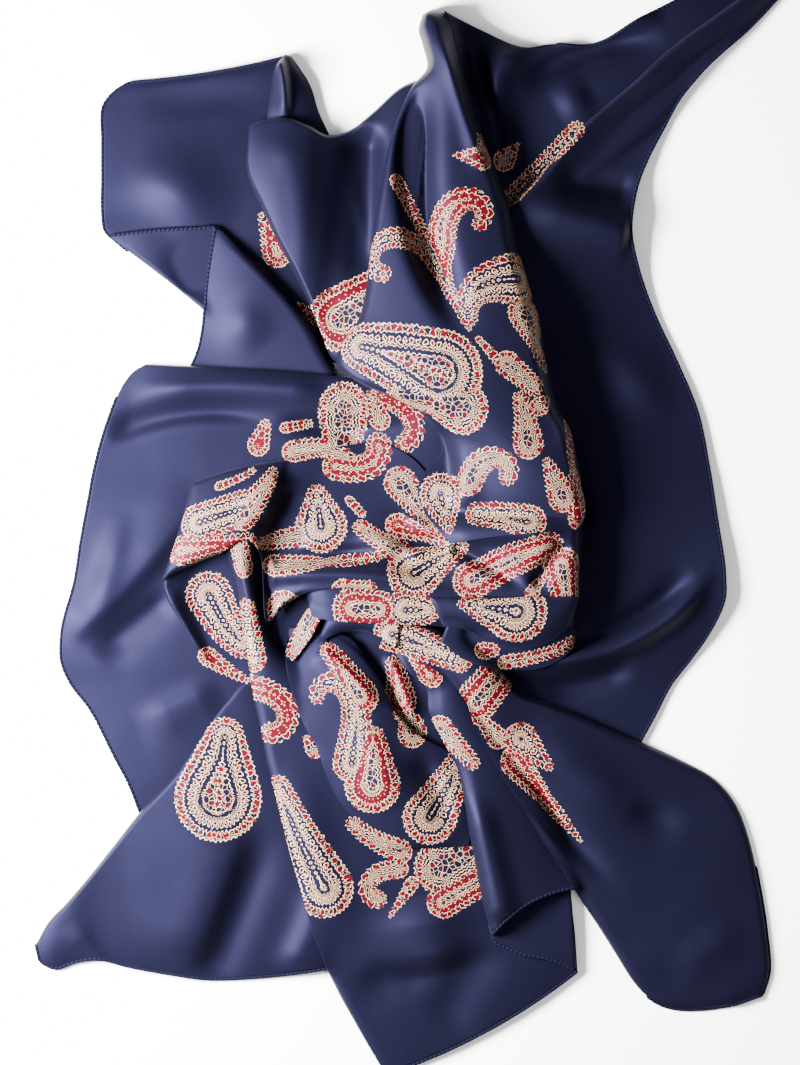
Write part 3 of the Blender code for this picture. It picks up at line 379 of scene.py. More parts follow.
        (424, 382, 425, 452, 0, 37, 36, 4), (438, 376, 435, 450, 0, 36, 35, 2),
    ), (
        (194, 412, 236, 403, 0, 9, 6, -15, 0.1, 0.5), (224, 366, 206, 408, 0, 14, 10, -6, 0.3, 0.2),
        (203, 420, 290, 414, 2, 6, 7, -9, 0.1, 0.4), (200, 432, 330, 438, 5, 8, 8, 8, 0.05, 0.3),
        (214, 352, 200, 395, 0, 10, 10, 6, 0.3, 0.3), (338, 408, 398, 442, 0, 7, 7, -9, 0.1, 0.5),
        (336, 406, 286, 418, -3, 6, 7, -8, 0.1, 0.5), (336, 405, 300, 384, 0, 5, 6, 7, 0.1, 0.5),
        (335, 402, 318, 368, 0, 5, 5, 5, 0.15, 0.4), (340, 400, 352, 374, 0, 5, 5, -6, 0.15, 0.4),
        (322, 418, 262, 398, 0, 6, 6, 5, 0.2, 0.4), (338, 404, 424, 402, 3, 8, 8, 8, 0.1, 0.3),
        (424, 406, 398, 442, 0, 6, 8, -8, 0.1, 0.2),
    )),
    "right_pouch": ((3, 5, 4, 6), (
        (322, 447, 332, 469, 0, 38, 33, 3), (338, 447, 346, 471, 0, 39, 33, 4),
        (358, 448, 362, 477, 0, 40, 33, 5), (378, 448, 380, 484, 0, 40, 32, 6),
        (398, 447, 400, 485, 0, 40, 32, 6), (414, 447, 415, 479, 0, 39, 32, 5),
        (425, 447, 424, 472, 0, 38, 32, 3), (433, 448, 429, 466, 0, 36, 32, 1),
    ), (
        (330, 466, 380, 476, 0, 5, 5, -3, 0.3, 0.3),
    )),
    "main_ridge": ((5, 7, 6, 12), (
        (317, 11, 325, 7, 0, 22, 22, 2), (314, 21, 334, 13, 0, 24, 24, 4), (317, 34, 341, 34, 0, 26, 27, 6),
        (320, 52, 347, 55, 0, 27, 30, 7), (308, 68, 352, 73, 0, 27, 32, 7),
        (299, 88, 358, 92, 0, 28, 34, 6), (292, 108, 366, 113, 0, 30, 36, 5),
        (286, 135, 376, 138, 0, 31, 38, 5), (282, 156, 382, 160, 0, 32, 40, 6),
        (278, 187, 388, 187, 0, 33, 42, 8), (275, 215, 396, 213, 0, 33, 44, 10),
        (269, 240, 405, 243, 0, 33, 45, 12), (255, 262, 411, 278, 0, 32, 45, 14),
        (254, 276, 418, 305, 0, 31, 44, 15), (272, 289, 428, 324, 0, 31, 42, 15),
        (297, 300, 433, 345, 0, 28, 42, 14), (316, 311, 436, 358, 0, 26, 42, 14),
        (329, 326, 437, 368, 0, 24, 42, 13), (331, 340, 438, 374, 0, 20, 42, 13),
        (320, 352, 438, 379, 0, 12, 42, 13), (313, 366, 438, 384, 0, 11, 41, 11),
        (318, 384, 437, 389, 0, 12, 40, 8), (328, 397, 434, 394, 0, 15, 39, 5),
        (338, 408, 430, 398, 2, 20, 38, 2),
    ), (
        (319, 48, 352, 262, -24, 17, 11, -25, 0.3, 0.4), (322, 316, 340, 374, 3, 9, 9, -9, 0.25, 0.3),
        (325, 20, 362, 140, 4, 9, 9, 5, 0.3, 0.3), (252, 280, 338, 350, 10, 10, 16, 6, 0.2, 0.3),
        (380, 145, 396, 205, 2, 7, 7, 4, 0.3, 0.3), (404, 270, 432, 350, 4, 10, 10, 4, 0.4, 0.4),
        (334, 326, 350, 392, 3, 14, 10, 4, 0.45, 0.3), (352, 392, 418, 396, -4, 8, 8, 4, 0.2, 0.3),
    )),
}

# The print of each stretch: rows of Paisley.
PRINTS = {
    "top_left_corner": (
        (208, 190, 196, 162, 5, 12, 3, RED), (240, 240, 224, 229, 0, 7, 3, RED),
    ),
    "top_lobe": (
        (256, 240, 310, 205, 0, 25, 20, RED),
    ),
    "top_border": (
        (378, 121, 388, 109, 0, 9, 2, LACY), (382, 150, 432, 98, 4, 8, 7, BEADED),
    ),
    "right_border": (
        (382, 150, 432, 98, 4, 8, 7, BEADED),
    ),
    "left_border": (
        (194, 334, 199, 319, 0, 9, 5, RED), (258, 306, 257, 332, 0, 21, 15, LACY),
        (285, 316, 278, 298, 0, 9, 5, LACY), (286, 297, 304, 333, -130, 9, 8, RED),
        (214, 321, 232, 318, 0, 5, 4, LACY), (220, 339, 258, 344, -60, 9, 8, LACY),
        (252, 350, 284, 334, 120, 11, 10, RED), (156, 492, 186, 510, 10, 8, 3, RED),
    ),
    "bottom_left_corner": (
        (164, 598, 169, 552, 0, 33, 15, BEADED),
    ),
    "loop_inside": (
        (157, 446, 182, 482, 25, 18, 12, BEADED), (156, 492, 186, 510, 10, 8, 3, RED),
    ),
    "front_panel": (
        (190, 494, 185, 456, 0, 11, 8, BEADED), (183, 425, 180, 411, 0, 9, 8, LACY),
        (186, 514, 203, 549, -180, 10, 8, RED), (243, 665, 209, 590, -8, 23, 10, BEADED),
        (236, 562, 231, 553, 0, 7, 4, LACY), (300, 638, 265, 617, -20, 10, 6, LACY),
        (299, 651, 284, 674, 180, 8, 7, LACY), (330, 650, 366, 630, 0, 20, 18, LACY),
        (332, 676, 366, 656, 0, 13, 12, RED), (309, 662, 293, 686, 0, 6, 2, LACY),
        (322, 612, 343, 572, 10, 21, 10, BEADED),
    ),
    "mouth_fold": (
        (300, 525, 296, 498, 0, 13, 8, RED), (309, 549, 300, 534, 60, 12, 6, LACY),
    ),
    "front_fold": (
        (270, 522, 246, 486, 10, 15, 7, RED), (264, 572, 238, 522, 200, 15, 6, BEADED, 2.2),
        (279, 588, 280, 552, 0, 22, 9, RED), (309, 549, 300, 534, 60, 12, 6, LACY),
        (322, 612, 343, 572, 10, 21, 10, BEADED), (300, 638, 265, 617, -20, 10, 6, LACY),
    ),
    "open_roll": (
        (322, 506, 311, 492, 0, 11, 6, RED), (330, 545, 354, 571, 0, 10, 6, LACY),
    ),
    "bottom_right_corner": (
        (294, 475, 345, 495, -5, 15, 9, BEADED), (355, 528, 376, 502, 0, 17, 15, RED),
        (385, 570, 435, 630, 0, 12, 2, RED), (373, 553, 352, 529, 0, 9, 3, LACY),
        (390, 553, 411, 574, 0, 13, 4, BEADED),
    ),
    "lace_strip": (
        (232, 462, 222, 487, 0, 11, 8, LACY),
    ),
    "left_band": (
        (266, 456, 283, 457, 0, 17, 16, RED), (304, 457, 318, 457, 0, 16, 12, BEADED),
    ),
    "under_strip": (
        (362, 488, 369, 487, 0, 8, 6, RED), (378, 496, 428, 481, 25, 6, 5, LACY),
    ),
    "centre_bowl": (
        (150, 392, 184, 381, 0, 15, 14, BEADED), (182, 386, 206, 353, 20, 13, 5, LACY),
        (165, 365, 190, 353, 20, 4, 3, LACY), (136, 413, 188, 405, 6, 12, 6, RED),
        (241, 395, 238, 371, 0, 20, 8, BEADED), (226, 402, 192, 408, 0, 9, 6, LACY),
        (262, 375, 271, 385, 0, 4, 4, LACY), (300, 414, 270, 395, 0, 11, 7, LACY),
        (206, 424, 284, 417, 8, 9, 4, LACY), (258, 443, 276, 441, 0, 10, 7, LACY),
        (300, 362, 329, 399, 0, 13, 6, LACY), (298, 394, 338, 408, 0, 10, 4, RED),
        (330, 370, 336, 396, 0, 18, 4, BEADED), (310, 430, 345, 409, 0, 21, 7, BEADED),
        (353, 435, 411, 409, -8, 15, 11, RED), (420, 424, 424, 448, 0, 15, 12, RED),
        (398, 444, 408, 432, 0, 7, 3, LACY), (214, 455, 205, 476, 0, 14, 5, LACY),
        (220, 339, 258, 344, -60, 9, 8, LACY), (252, 350, 284, 334, 120, 11, 10, RED),
    ),
    "mouth_rim": (
        (294, 475, 345, 495, -5, 15, 9, BEADED),
    ),
    "right_pouch": (
        (386, 458, 346, 452, 0, 24, 4, BEADED),
    ),
    "main_ridge": (
        (329, 281, 271, 261, 8, 33, 19, BEADED), (345, 307, 300, 296, 0, 21, 11, LACY),
        (316, 184, 287, 207, 195, 9, 7, BEADED), (318, 184, 352, 250, -6, 9, 3, BEADED),
        (297, 137, 321, 182, 0, 6, 4, RED), (328, 176, 359, 170, -215, 14, 6, RED),
        (330, 180, 336, 224, 0, 13, 3, RED), (362, 121, 341, 119, 0, 10, 2, RED),
        (361, 118, 360, 104, 0, 8, 3, LACY), (388, 211, 351, 240, 110, 21, 7, BEADED),
        (393, 236, 410, 282, 0, 14, 2, LACY), (358, 256, 376, 276, 0, 3, 5, LACY),
        (379, 274, 399, 291, 0, 10, 8, LACY), (403, 306, 411, 300, 0, 8, 3, LACY),
        (395, 334, 389, 300, 15, 12, 6, LACY), (421, 374, 409, 347, 0, 12, 4, LACY),
        (432, 390, 423, 312, 8, 8, 2, RED), (350, 362, 380, 358, -190, 12, 7, LACY),
        (396, 392, 356, 385, 8, 14, 9, BEADED), (330, 370, 337, 398, 0, 17, 4, BEADED),
    ),
}

# The hems that show: rows of Hem.
HEMS = {
    "top_left_corner": (("first", 0.0, 1.0), ("left", 0.0, 0.62)),
    "pleat_underside": (("left", 0.05, 0.9),),
    "upper_left_border": (("left", 0.0, 0.95),),
    "left_border": (("left", 0.16, 1.0),),
    "top_border": (("left", 0.3, 1.0),),
    "right_border": (("right", 0.0, 1.0),),
    "bottom_left_corner": (("right", 0.0, 1.0), ("first", 0.0, 1.0)),
    "front_panel": (("last", 0.0, 1.0),),
    "rolled_edge_inside": (("right", 0.0, 1.0),),
    "open_roll": (("last", 0.0, 1.0),),
    "bottom_right_corner": (("left", 0.8, 1.0), ("right", 0.82, 1.0), ("last", 0.0, 1.0)),
}


def ease(t: Array) -> Array:
    """0 to 1, level at both ends."""
    t = np.clip(t, 0, 1)
    return t * t * (3 - 2 * t)


def side_gaps(rows: Array) -> Array:
    """How far each section is from the one before it.

    Args:
        rows: the drawn sections.

    Returns:
        The mean of the distances on the left and on the right, one fewer than the sections.
    """
    left = np.linalg.norm(np.diff(rows[:, 0:2], axis=0), axis=1)
    right = np.linalg.norm(np.diff(rows[:, 2:4], axis=0), axis=1)
    return (left + right) / 2


def sections_between(rows: Array, share: Array) -> Array:
    """Works out sections on smooth curves through all that are drawn.

    Args:
        rows: the drawn sections, one a row.
        share: how far along the stretch each wanted section is, from 0 to 1.

    Returns:
        One row for each share.
    """
    along = np.concatenate([[0], np.cumsum(side_gaps(rows))])
    along /= along[-1]
    step = np.diff(along)[:, None]
    slope = np.diff(rows, axis=0) / step
    bend = np.empty_like(rows)
    bend[0], bend[-1] = slope[0], slope[-1]
    bend[1:-1] = (slope[:-1] * step[1:] + slope[1:] * step[:-1]) / (step[1:] + step[:-1])
    i = np.clip(np.searchsorted(along, share, side="right") - 1, 0, len(along) - 2)
    t = ((share - along[i]) / step[i, 0])[:, None]
    start = (2 * t**3 - 3 * t**2 + 1) * rows[i] + (t**3 - 2 * t**2 + t) * step[i] * bend[i]
    end = (3 * t**2 - 2 * t**3) * rows[i + 1] + (t**3 - t**2) * step[i] * bend[i + 1]
    return start + end


def fold_height(fold: Fold, x: Array, y: Array) -> Array:
    """Height that one ridge or trough adds at each point.

    Args:
        fold: the ridge or trough.
        x, y: the points, on the chart.

    Returns:
        The heights.
    """
    way_x, way_y = fold.x2 - fold.x1, fold.y2 - fold.y1
    reach = math.hypot(way_x, way_y)
    way_x, way_y = way_x / reach, way_y / reach
    along = ((x - fold.x1) * way_x + (y - fold.y1) * way_y) / reach
    inside = np.clip(along, 0, 1)
    aside = (x - fold.x1) * way_y - (y - fold.y1) * way_x - 4 * fold.bend * inside * (1 - inside)
    width = np.where(aside > 0, fold.left, fold.right)
    faded = ease(along / fold.fade_in) * ease((1 - along) / fold.fade_out)
    return fold.height * faded * np.exp(-FOLD_FALL * (aside / width) ** 2)


def wander(x: Array, y: Array, seed: int) -> Array:
    """A faint uneven swell, as of cloth that has been worn and folded before.

    Args:
        x, y: points of the chart.
        seed: which swell it is.

    Returns:
        Its height at each of them.
    """
    total = np.zeros_like(x)
    for k, (length, height) in enumerate(SWELLS):
        turn = 1.7 * seed + 2.1 * k
        down = x * math.cos(turn) + y * math.sin(turn)
        over = y * math.cos(turn) - x * math.sin(turn)
        total += height * np.sin(2 * np.pi * down / length + seed + 1.6 * np.sin(over / (0.4 * length) + k))
    return total


def stations(length: float, first_roll: float, last_roll: float) -> Array:
    """Shares from 0 to 1, evenly spaced but closer together round a rolled edge.

    Args:
        length: what the shares are of.
        first_roll, last_roll: the radii of the edges at 0 and at 1.

    Returns:
        The shares.
    """
    turn = np.linspace(0, math.pi / 2, ROLL_FACETS + 1)
    start = first_roll * (1 - np.cos(turn)) if first_roll else np.zeros(1)
    end = length - last_roll * (1 - np.cos(turn[::-1])) if last_roll else np.full(1, length)
    count = max(3, round((end[0] - start[-1]) / GRID_STEP))
    middle = np.linspace(start[-1], end[0], count + 1)[1:-1]
    return np.concatenate([start, middle, end]) / length


def roll_off(distance: Array, radius: float) -> Array | float:
    """How much of its height the cloth keeps at a distance from a rolled edge.

    Args:
        distance: from the edge.
        radius: the edge's, or 0 for a plain edge.

    Returns:
        Shares of the height.
    """
    if not radius:
        return 1.0
    return np.sqrt(1 - np.clip(1 - distance / radius, 0, 1) ** 2)


def bilinear(corners: tuple[Array, ...], right: Array | float, down: Array | float) -> Array:
    """Values between four corners: upper left, upper right, lower left and lower right.

    Args:
        corners: the values there.
        right, down: shares of the way across and down.

    Returns:
        The values there.
    """
    upper = corners[0] * (1 - right) + corners[1] * right
    lower = corners[2] * (1 - right) + corners[3] * right
    return upper * (1 - down) + lower * down


def read_grid(grid: Array, x: Array, y: Array) -> Array:
    """The grid's value at each point of the chart.

    Args:
        grid: the values.
        x, y: the points.

    Returns:
        A value for each point.
    """
    column = np.clip((x - GRID_LEFT) / CELL, 0, GRID_COLUMNS - 1.001)
    row = np.clip((y - GRID_TOP) / CELL, 0, GRID_ROWS - 1.001)
    i, j = column.astype(int), row.astype(int)
    return bilinear((grid[j, i], grid[j, i + 1], grid[j + 1, i], grid[j + 1, i + 1]), column - i, row - j)


def pooled(grid: Array, cells: int, pool: Callable[..., Array], times: int = 1) -> Array:
    """The highest value or the mean over so many cells, taken so many times.

    Args:
        grid: the values.
        cells: how far it reaches to each side.
        pool: np.max or np.mean.
        times: how often it is taken.

    Returns:
        A grid of the same size.
    """
    for axis in (0, 1) * times:
        grid = pool([np.roll(grid, k, axis) for k in range(-cells, cells + 1)], axis=0)
    return grid


def cells_of(x: Array, y: Array) -> tuple[Array, Array]:
    """The row and column of the cell nearest to each point.

    Args:
        x, y: the points, on the chart.

    Returns:
        Rows and columns of the grid.
    """
    column = np.clip(np.rint((x - GRID_LEFT) / CELL).astype(int), 0, GRID_COLUMNS - 1)
    row = np.clip(np.rint((y - GRID_TOP) / CELL).astype(int), 0, GRID_ROWS - 1)
    return row, column


class Heap:
    """The height of the cloth already laid, on a grid, and which piece is uppermost in each cell."""

    def __init__(self) -> None:
        """Starts with the bare table."""
        self.top = np.zeros((GRID_ROWS, GRID_COLUMNS))
        self.owner = np.zeros((GRID_ROWS, GRID_COLUMNS), int)
        self.names: list[str] = [""]

    def add(self, name: str, *points: Array) -> None:
        """Lays one grid of points down.

        Args:
            name: the piece that they belong to.
            points: their x, y and z on the chart.
        """
        self.names.append(name)
        for s in FACET_SHARES:
            for t in FACET_SHARES:
                x, y, z = (bilinear((v[:-1, :-1], v[:-1, 1:], v[1:, :-1], v[1:, 1:]), s, t) for v in points)
                at = cells_of(x, y)
                np.maximum.at(self.top, at, z)
                self.owner[at] = len(self.names) - 1

    def under(self, x: Array, y: Array) -> list[str]:
        """The names of the pieces that lie uppermost below these points."""
        return [self.names[i] for i in np.unique(self.owner[cells_of(x, y)]) if i]


def world(x: Array, y: Array, z: Array) -> Array:
    """Points of the chart in the part's frame, in metres."""
    return np.stack([(x - CENTRE_X) * MM, (CENTRE_Y - y) * MM, z * MM], axis=-1)


def grid_object(
    name: str, points: Array, material: bpy.types.Material, tube: bool = False
) -> bpy.types.Object:
    """Makes a piece of the scarf from a grid of points.

    Args:
        name: the object's name.
        points: rows by columns by 3, in metres.
        material: what it is made of.
        tube: whether its last column meets its first.

    Returns:
        The object, riding on the scarf's one body, with the faces of an open grid upwards.
    """
    rows, columns = points.shape[:2]
    mesh = bmesh.new()
    bmesh.ops.create_grid(mesh, x_segments=columns - 1, y_segments=rows - 1, size=1.0)
    data = bpy.data.meshes.new(name)
    mesh.to_mesh(data)
    mesh.free()
    data.vertices.foreach_set("co", points.reshape(-1))
    data.update()
    normals = np.empty(len(data.polygons) * 3)
    data.polygons.foreach_get("normal", normals)
    if not tube and normals[2::3].mean() < 0:
        data.flip_normals()
    data.polygons.foreach_set("use_smooth", np.ones(len(data.polygons), bool))
    data.materials.append(material)
    piece = bpy.data.objects.new(name, data)
    bpy.context.scene.collection.objects.link(piece)
    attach(piece, "root")
    return piece


def close_up(piece: bpy.types.Object, skirt: bool = False) -> None:
    """Closes a piece and turns its faces outwards.

    Args:
        piece: the piece.
        skirt: whether its rim first goes straight down to the table. If not, its seam is welded.
    """
    mesh = bmesh.new()
    mesh.from_mesh(piece.data)
    if skirt:
        rim = [edge for edge in mesh.edges if edge.is_boundary]
        for item in bmesh.ops.extrude_edge_only(mesh, edges=rim)["geom"]:
            if isinstance(item, bmesh.types.BMVert):
                item.co.z = 0.0
    else:
        bmesh.ops.remove_doubles(mesh, verts=mesh.verts[:], dist=1e-6)
    bmesh.ops.holes_fill(mesh, edges=[edge for edge in mesh.edges if edge.is_boundary])
    bmesh.ops.recalc_face_normals(mesh, faces=mesh.faces[:])
    mesh.to_mesh(piece.data)
    mesh.free()


def loop_corners(data: bpy.types.Mesh) -> Array:
    """The vertex at each corner of each face.

    Args:
        data: the mesh.

    Returns:
        The vertices' numbers, face by face.
    """
    corner = np.empty(len(data.loops), np.int32)
    data.loops.foreach_get("vertex_index", corner)
    return corner


class Axis:
    """The curved axis of one paisley, and how points lie beside it."""

    SAMPLES = 60

    def __init__(self, motif: Paisley) -> None:
        """Lays the axis from the motif's head to its tip.

        Args:
            motif: the paisley.
        """
        share = np.linspace(0, 1, self.SAMPLES)
        turn = math.radians(motif.turn) * share ** (motif.curl + 1)
        step_x, step_y = np.cos(turn), -np.sin(turn)
        path_x = np.concatenate([[0], np.cumsum((step_x[1:] + step_x[:-1]) / 2)])
        path_y = np.concatenate([[0], np.cumsum((step_y[1:] + step_y[:-1]) / 2)])
        want = complex(motif.tip_x - motif.head_x, motif.tip_y - motif.head_y)
        spin = want / complex(path_x[-1], path_y[-1])
        path = (path_x + 1j * path_y) * spin
        self.x = motif.head_x + path.real
        self.y = motif.head_y + path.imag
        way = (step_x + 1j * step_y) * spin / abs(spin)
        self.way_x, self.way_y = way.real, way.imag
        self.length = abs(spin) * (self.SAMPLES - 1)

    def beside(self, x: Array, y: Array) -> tuple[Array, Array]:
        """Finds where points lie against the axis.

        Args:
            x, y: the points.

        Returns:
            How far each is to the side of the axis, and how far along it.
        """
        away = (x[:, None] - self.x) ** 2 + (y[:, None] - self.y) ** 2
        near = away.argmin(axis=1)
        step_x, step_y = x - self.x[near], y - self.y[near]
        way_x, way_y = self.way_x[near], self.way_y[near]
        side = step_x * way_y - step_y * way_x
        along = near * self.length / (self.SAMPLES - 1) + step_x * way_x + step_y * way_y
        return side, along


class Printer:
    """Prints paisleys on a piece, as a UV map along each motif's axis and an attribute with its sizes."""

    REACH = 8.0  # how far past a motif's edge its own map goes on
    STEEPEST = 3.0  # slope past which a motif isn't spread out further
    MOST_TAPER = 0.95
    FAR = 1e3  # stands for the map of points that a motif doesn't reach
    TORN = 6.0  # facets that a face's map may span before it counts as torn

    def __init__(self, motifs: tuple[Paisley, ...]) -> None:
        """Takes the motifs of one stretch."""
        self.motifs = motifs

    def dress(self, piece: bpy.types.Object) -> None:
        """Writes the print onto a piece whose points are in the part's frame.

        Args:
            piece: a grid of four-cornered faces.
        """
        data = piece.data
        points = np.empty(len(data.vertices) * 3)
        data.vertices.foreach_get("co", points)
        points = points.reshape(-1, 3) / MM
        chart = points[:, 0] + CENTRE_X, CENTRE_Y - points[:, 1], points[:, 2]
        corner = loop_corners(data).reshape(-1, 4)  # the grid's faces all have four corners
        best = np.full(len(corner), self.REACH)
        place = np.zeros((len(corner), 4, 2))
        sizes = np.zeros((len(corner), 4, 4))
        sizes[:, :, 0] = -1.0
        for motif in self.motifs:
            self._stamp(motif, chart, corner, best, place, sizes)
        uv = data.uv_layers.new(name="print")
        uv.data.foreach_set("uv", place.reshape(-1))
        attribute = data.color_attributes.new(name="motif", type="FLOAT_COLOR", domain="CORNER")
        attribute.data.foreach_set("color", sizes.reshape(-1))

    def _stamp(
        self, motif: Paisley, chart: tuple, corner: Array, best: Array, place: Array, sizes: Array
    ) -> None:
        """Prints one motif wherever it lies deeper than those before it.

        Args:
            motif: what is printed.
            chart: x, y and z of the piece's vertices.
            corner: the vertices of each face.
            best: how far each face is outside the deepest motif so far. This, place and sizes are updated.
            place: the map of each corner of each face.
            sizes: the attribute of each corner of each face.
        """
        x, y, z = chart
        axis = Axis(motif)
        middle_x, middle_y = axis.x.mean(), axis.y.mean()
        run = np.hypot(x - middle_x, y - middle_y) + 1e-6
        height = z[run.argmin()]
        spread = np.sqrt(1 + np.clip((z - height) / run, -self.STEEPEST, self.STEEPEST) ** 2)
        near = run < motif.head_radius + motif.tip_radius + axis.length + 3 * self.REACH
        side, along = np.full(len(x), self.FAR), np.full(len(x), self.FAR)
        flat_x = middle_x + (x[near] - middle_x) * spread[near]
        flat_y = middle_y + (y[near] - middle_y) * spread[near]
        side[near], along[near] = axis.beside(flat_x, flat_y)
        taper = (motif.head_radius - motif.tip_radius) / axis.length
        taper = min(max(taper, -self.MOST_TAPER), self.MOST_TAPER)
        slant = math.sqrt(1 - taper**2)
        foot = np.clip(along - np.abs(side) * taper / slant, 0, axis.length)
        outside = np.hypot(side, along - foot) - motif.head_radius + taper * foot
        faces = outside[corner].mean(axis=1)
        ends_side, ends_along = side[corner], along[corner]
        torn = np.maximum(np.ptp(ends_side, axis=1), np.ptp(ends_along, axis=1)) > self.TORN * GRID_STEP
        won = (faces < best) & ~torn
        best[won] = faces[won]
        place[won, :, 0] = ends_side[won] * UV_SCALE
        place[won, :, 1] = ends_along[won] * UV_SCALE
        sizes[won] = (motif.head_radius * UV_SCALE, axis.length * UV_SCALE, taper, motif.pattern.value)


def _adds(operation: str, swapped: bool = False) -> Callable[[Value, Value | float], Value]:
    """Makes an operator of Value.

    Args:
        operation: the Math node that it adds.
        swapped: whether the value itself is the node's second input.

    Returns:
        The operator.
    """

    def operator(value: Value, other: Value | float) -> Value:
        """Adds the node."""
        return value.recipe.maths(operation, *((other, value) if swapped else (value, other)))

    return operator


class Value:
    """A number socket in a material, on which Python's own operators add Math nodes."""

    __add__ = __radd__ = _adds("ADD")
    __sub__ = _adds("SUBTRACT")
    __rsub__ = _adds("SUBTRACT", swapped=True)
    __mul__ = __rmul__ = _adds("MULTIPLY")
    __truediv__ = _adds("DIVIDE")
    least = _adds("MINIMUM")  # the lesser of the two
    most = _adds("MAXIMUM")  # the greater of the two
    angle = _adds("ARCTAN2")  # the angle whose tangent is the one divided by the other

    def __init__(self, recipe: Recipe, socket: Socket) -> None:
        """Wraps a socket."""
        self.recipe, self.socket = recipe, socket

    def __abs__(self) -> Value:
        """Its size without its sign."""
        return self.recipe.maths("ABSOLUTE", self)

    def root(self) -> Value:
        """Its square root."""
        return self.recipe.maths("SQRT", self)

    def sine(self) -> Value:
        """Its sine, in radians."""
        return self.recipe.maths("SINE", self)

    def fraction(self) -> Value:
        """How far it is past a whole number."""
        return self.recipe.maths("FRACT", self)

    def above(self, limit: Value | float, soft: float = 0.15) -> Value:
        """1 where it is over a limit, 0 where it is under, with a soft step between."""
        return self.recipe.maths("MULTIPLY_ADD", self - limit, 1 / soft, 0.5, clamp=True)

    def between(self, low: Value | float, high: Value | float, soft: float = 0.15) -> Value:
        """1 between two limits, 0 outside them."""
        return self.above(low, soft) * (1 - self.above(high, soft))


class Recipe:
    """The nodes of one material."""

    def __init__(self, name: str) -> None:
        """Starts with the shader alone."""
        self.material = bpy.data.materials.new(name)
        self.material.use_nodes = True
        self.tree = self.material.node_tree
        self.shader = self.tree.nodes["Principled BSDF"]

    def node(self, kind: str, sockets: dict | None = None, **settings: object) -> bpy.types.Node:
        """Adds one node.

        Args:
            kind: the node's type, as it follows ShaderNode.
            sockets: values or links for its inputs, by name or number.
            **settings: its properties, set first.

        Returns:
            The node.
        """
        node = self.tree.nodes.new("ShaderNode" + kind)
        for key, value in settings.items():
            setattr(node, key, value)
        for key, value in (sockets or {}).items():
            self.join(value, node.inputs[key])
        return node

    def join(self, value: Value | Socket | float | tuple, socket: Socket) -> None:
        """Links a socket to an input, or sets the input's own value.

        Args:
            value: what is linked or set.
            socket: the input.
        """
        if isinstance(value, Value):
            value = value.socket
        if isinstance(value, Socket):
            self.tree.links.new(value, socket)
        else:
            socket.default_value = value

    def maths(self, operation: str, *inputs: Value | float, clamp: bool = False) -> Value:
        """Adds a Math node."""
        node = self.node("Math", dict(enumerate(inputs)), operation=operation, use_clamp=clamp)
        return Value(self, node.outputs[0])

    def parts(self, whole: Socket, kind: str = "Color") -> list[Value]:
        """The three numbers of a colour or, with XYZ, of a vector."""
        return [Value(self, part) for part in self.node("Separate" + kind, {0: whole}).outputs]

    def blend(self, factor: Value | float, low: object, high: object) -> Socket:
        """Mixes two colours."""
        return self.node("Mix", {0: factor, 6: low, 7: high}, data_type="RGBA").outputs[2]

    def bump(self, height: Value | Socket, strength: float, distance: float) -> Socket:
        """Raises the surface by a height, over a distance in metres."""
        return self.node("Bump", {"Height": height, "Strength": strength, "Distance": distance}).outputs[0]

    def finish(self, **sockets: object) -> bpy.types.Material:
        """Sets the shader's sockets, with _ for a space in their names.

        Args:
            **sockets: what each gets.

        Returns:
            The material.
        """
        for name, value in sockets.items():
            self.join(value, self.shader.inputs[name.replace("_", " ")])
        return self.material


@dataclass(frozen=True)
class Filling:
    """The cream lines round a kind of paisley and the lace inside them, by how deep they lie in it."""

    core: float  # where the lace starts
    rippled: tuple[tuple[float, float], ...]
    plain: tuple[tuple[float, float], ...] = ()

    def lines(self, depth: Value, ripple: Value) -> Value:
        """Where the lines are, those of rippled on a depth that goes up and down."""
        rippled = [ripple.between(*line) for line in self.rippled]
        return reduce(Value.most, rippled + [depth.between(*line) for line in self.plain])


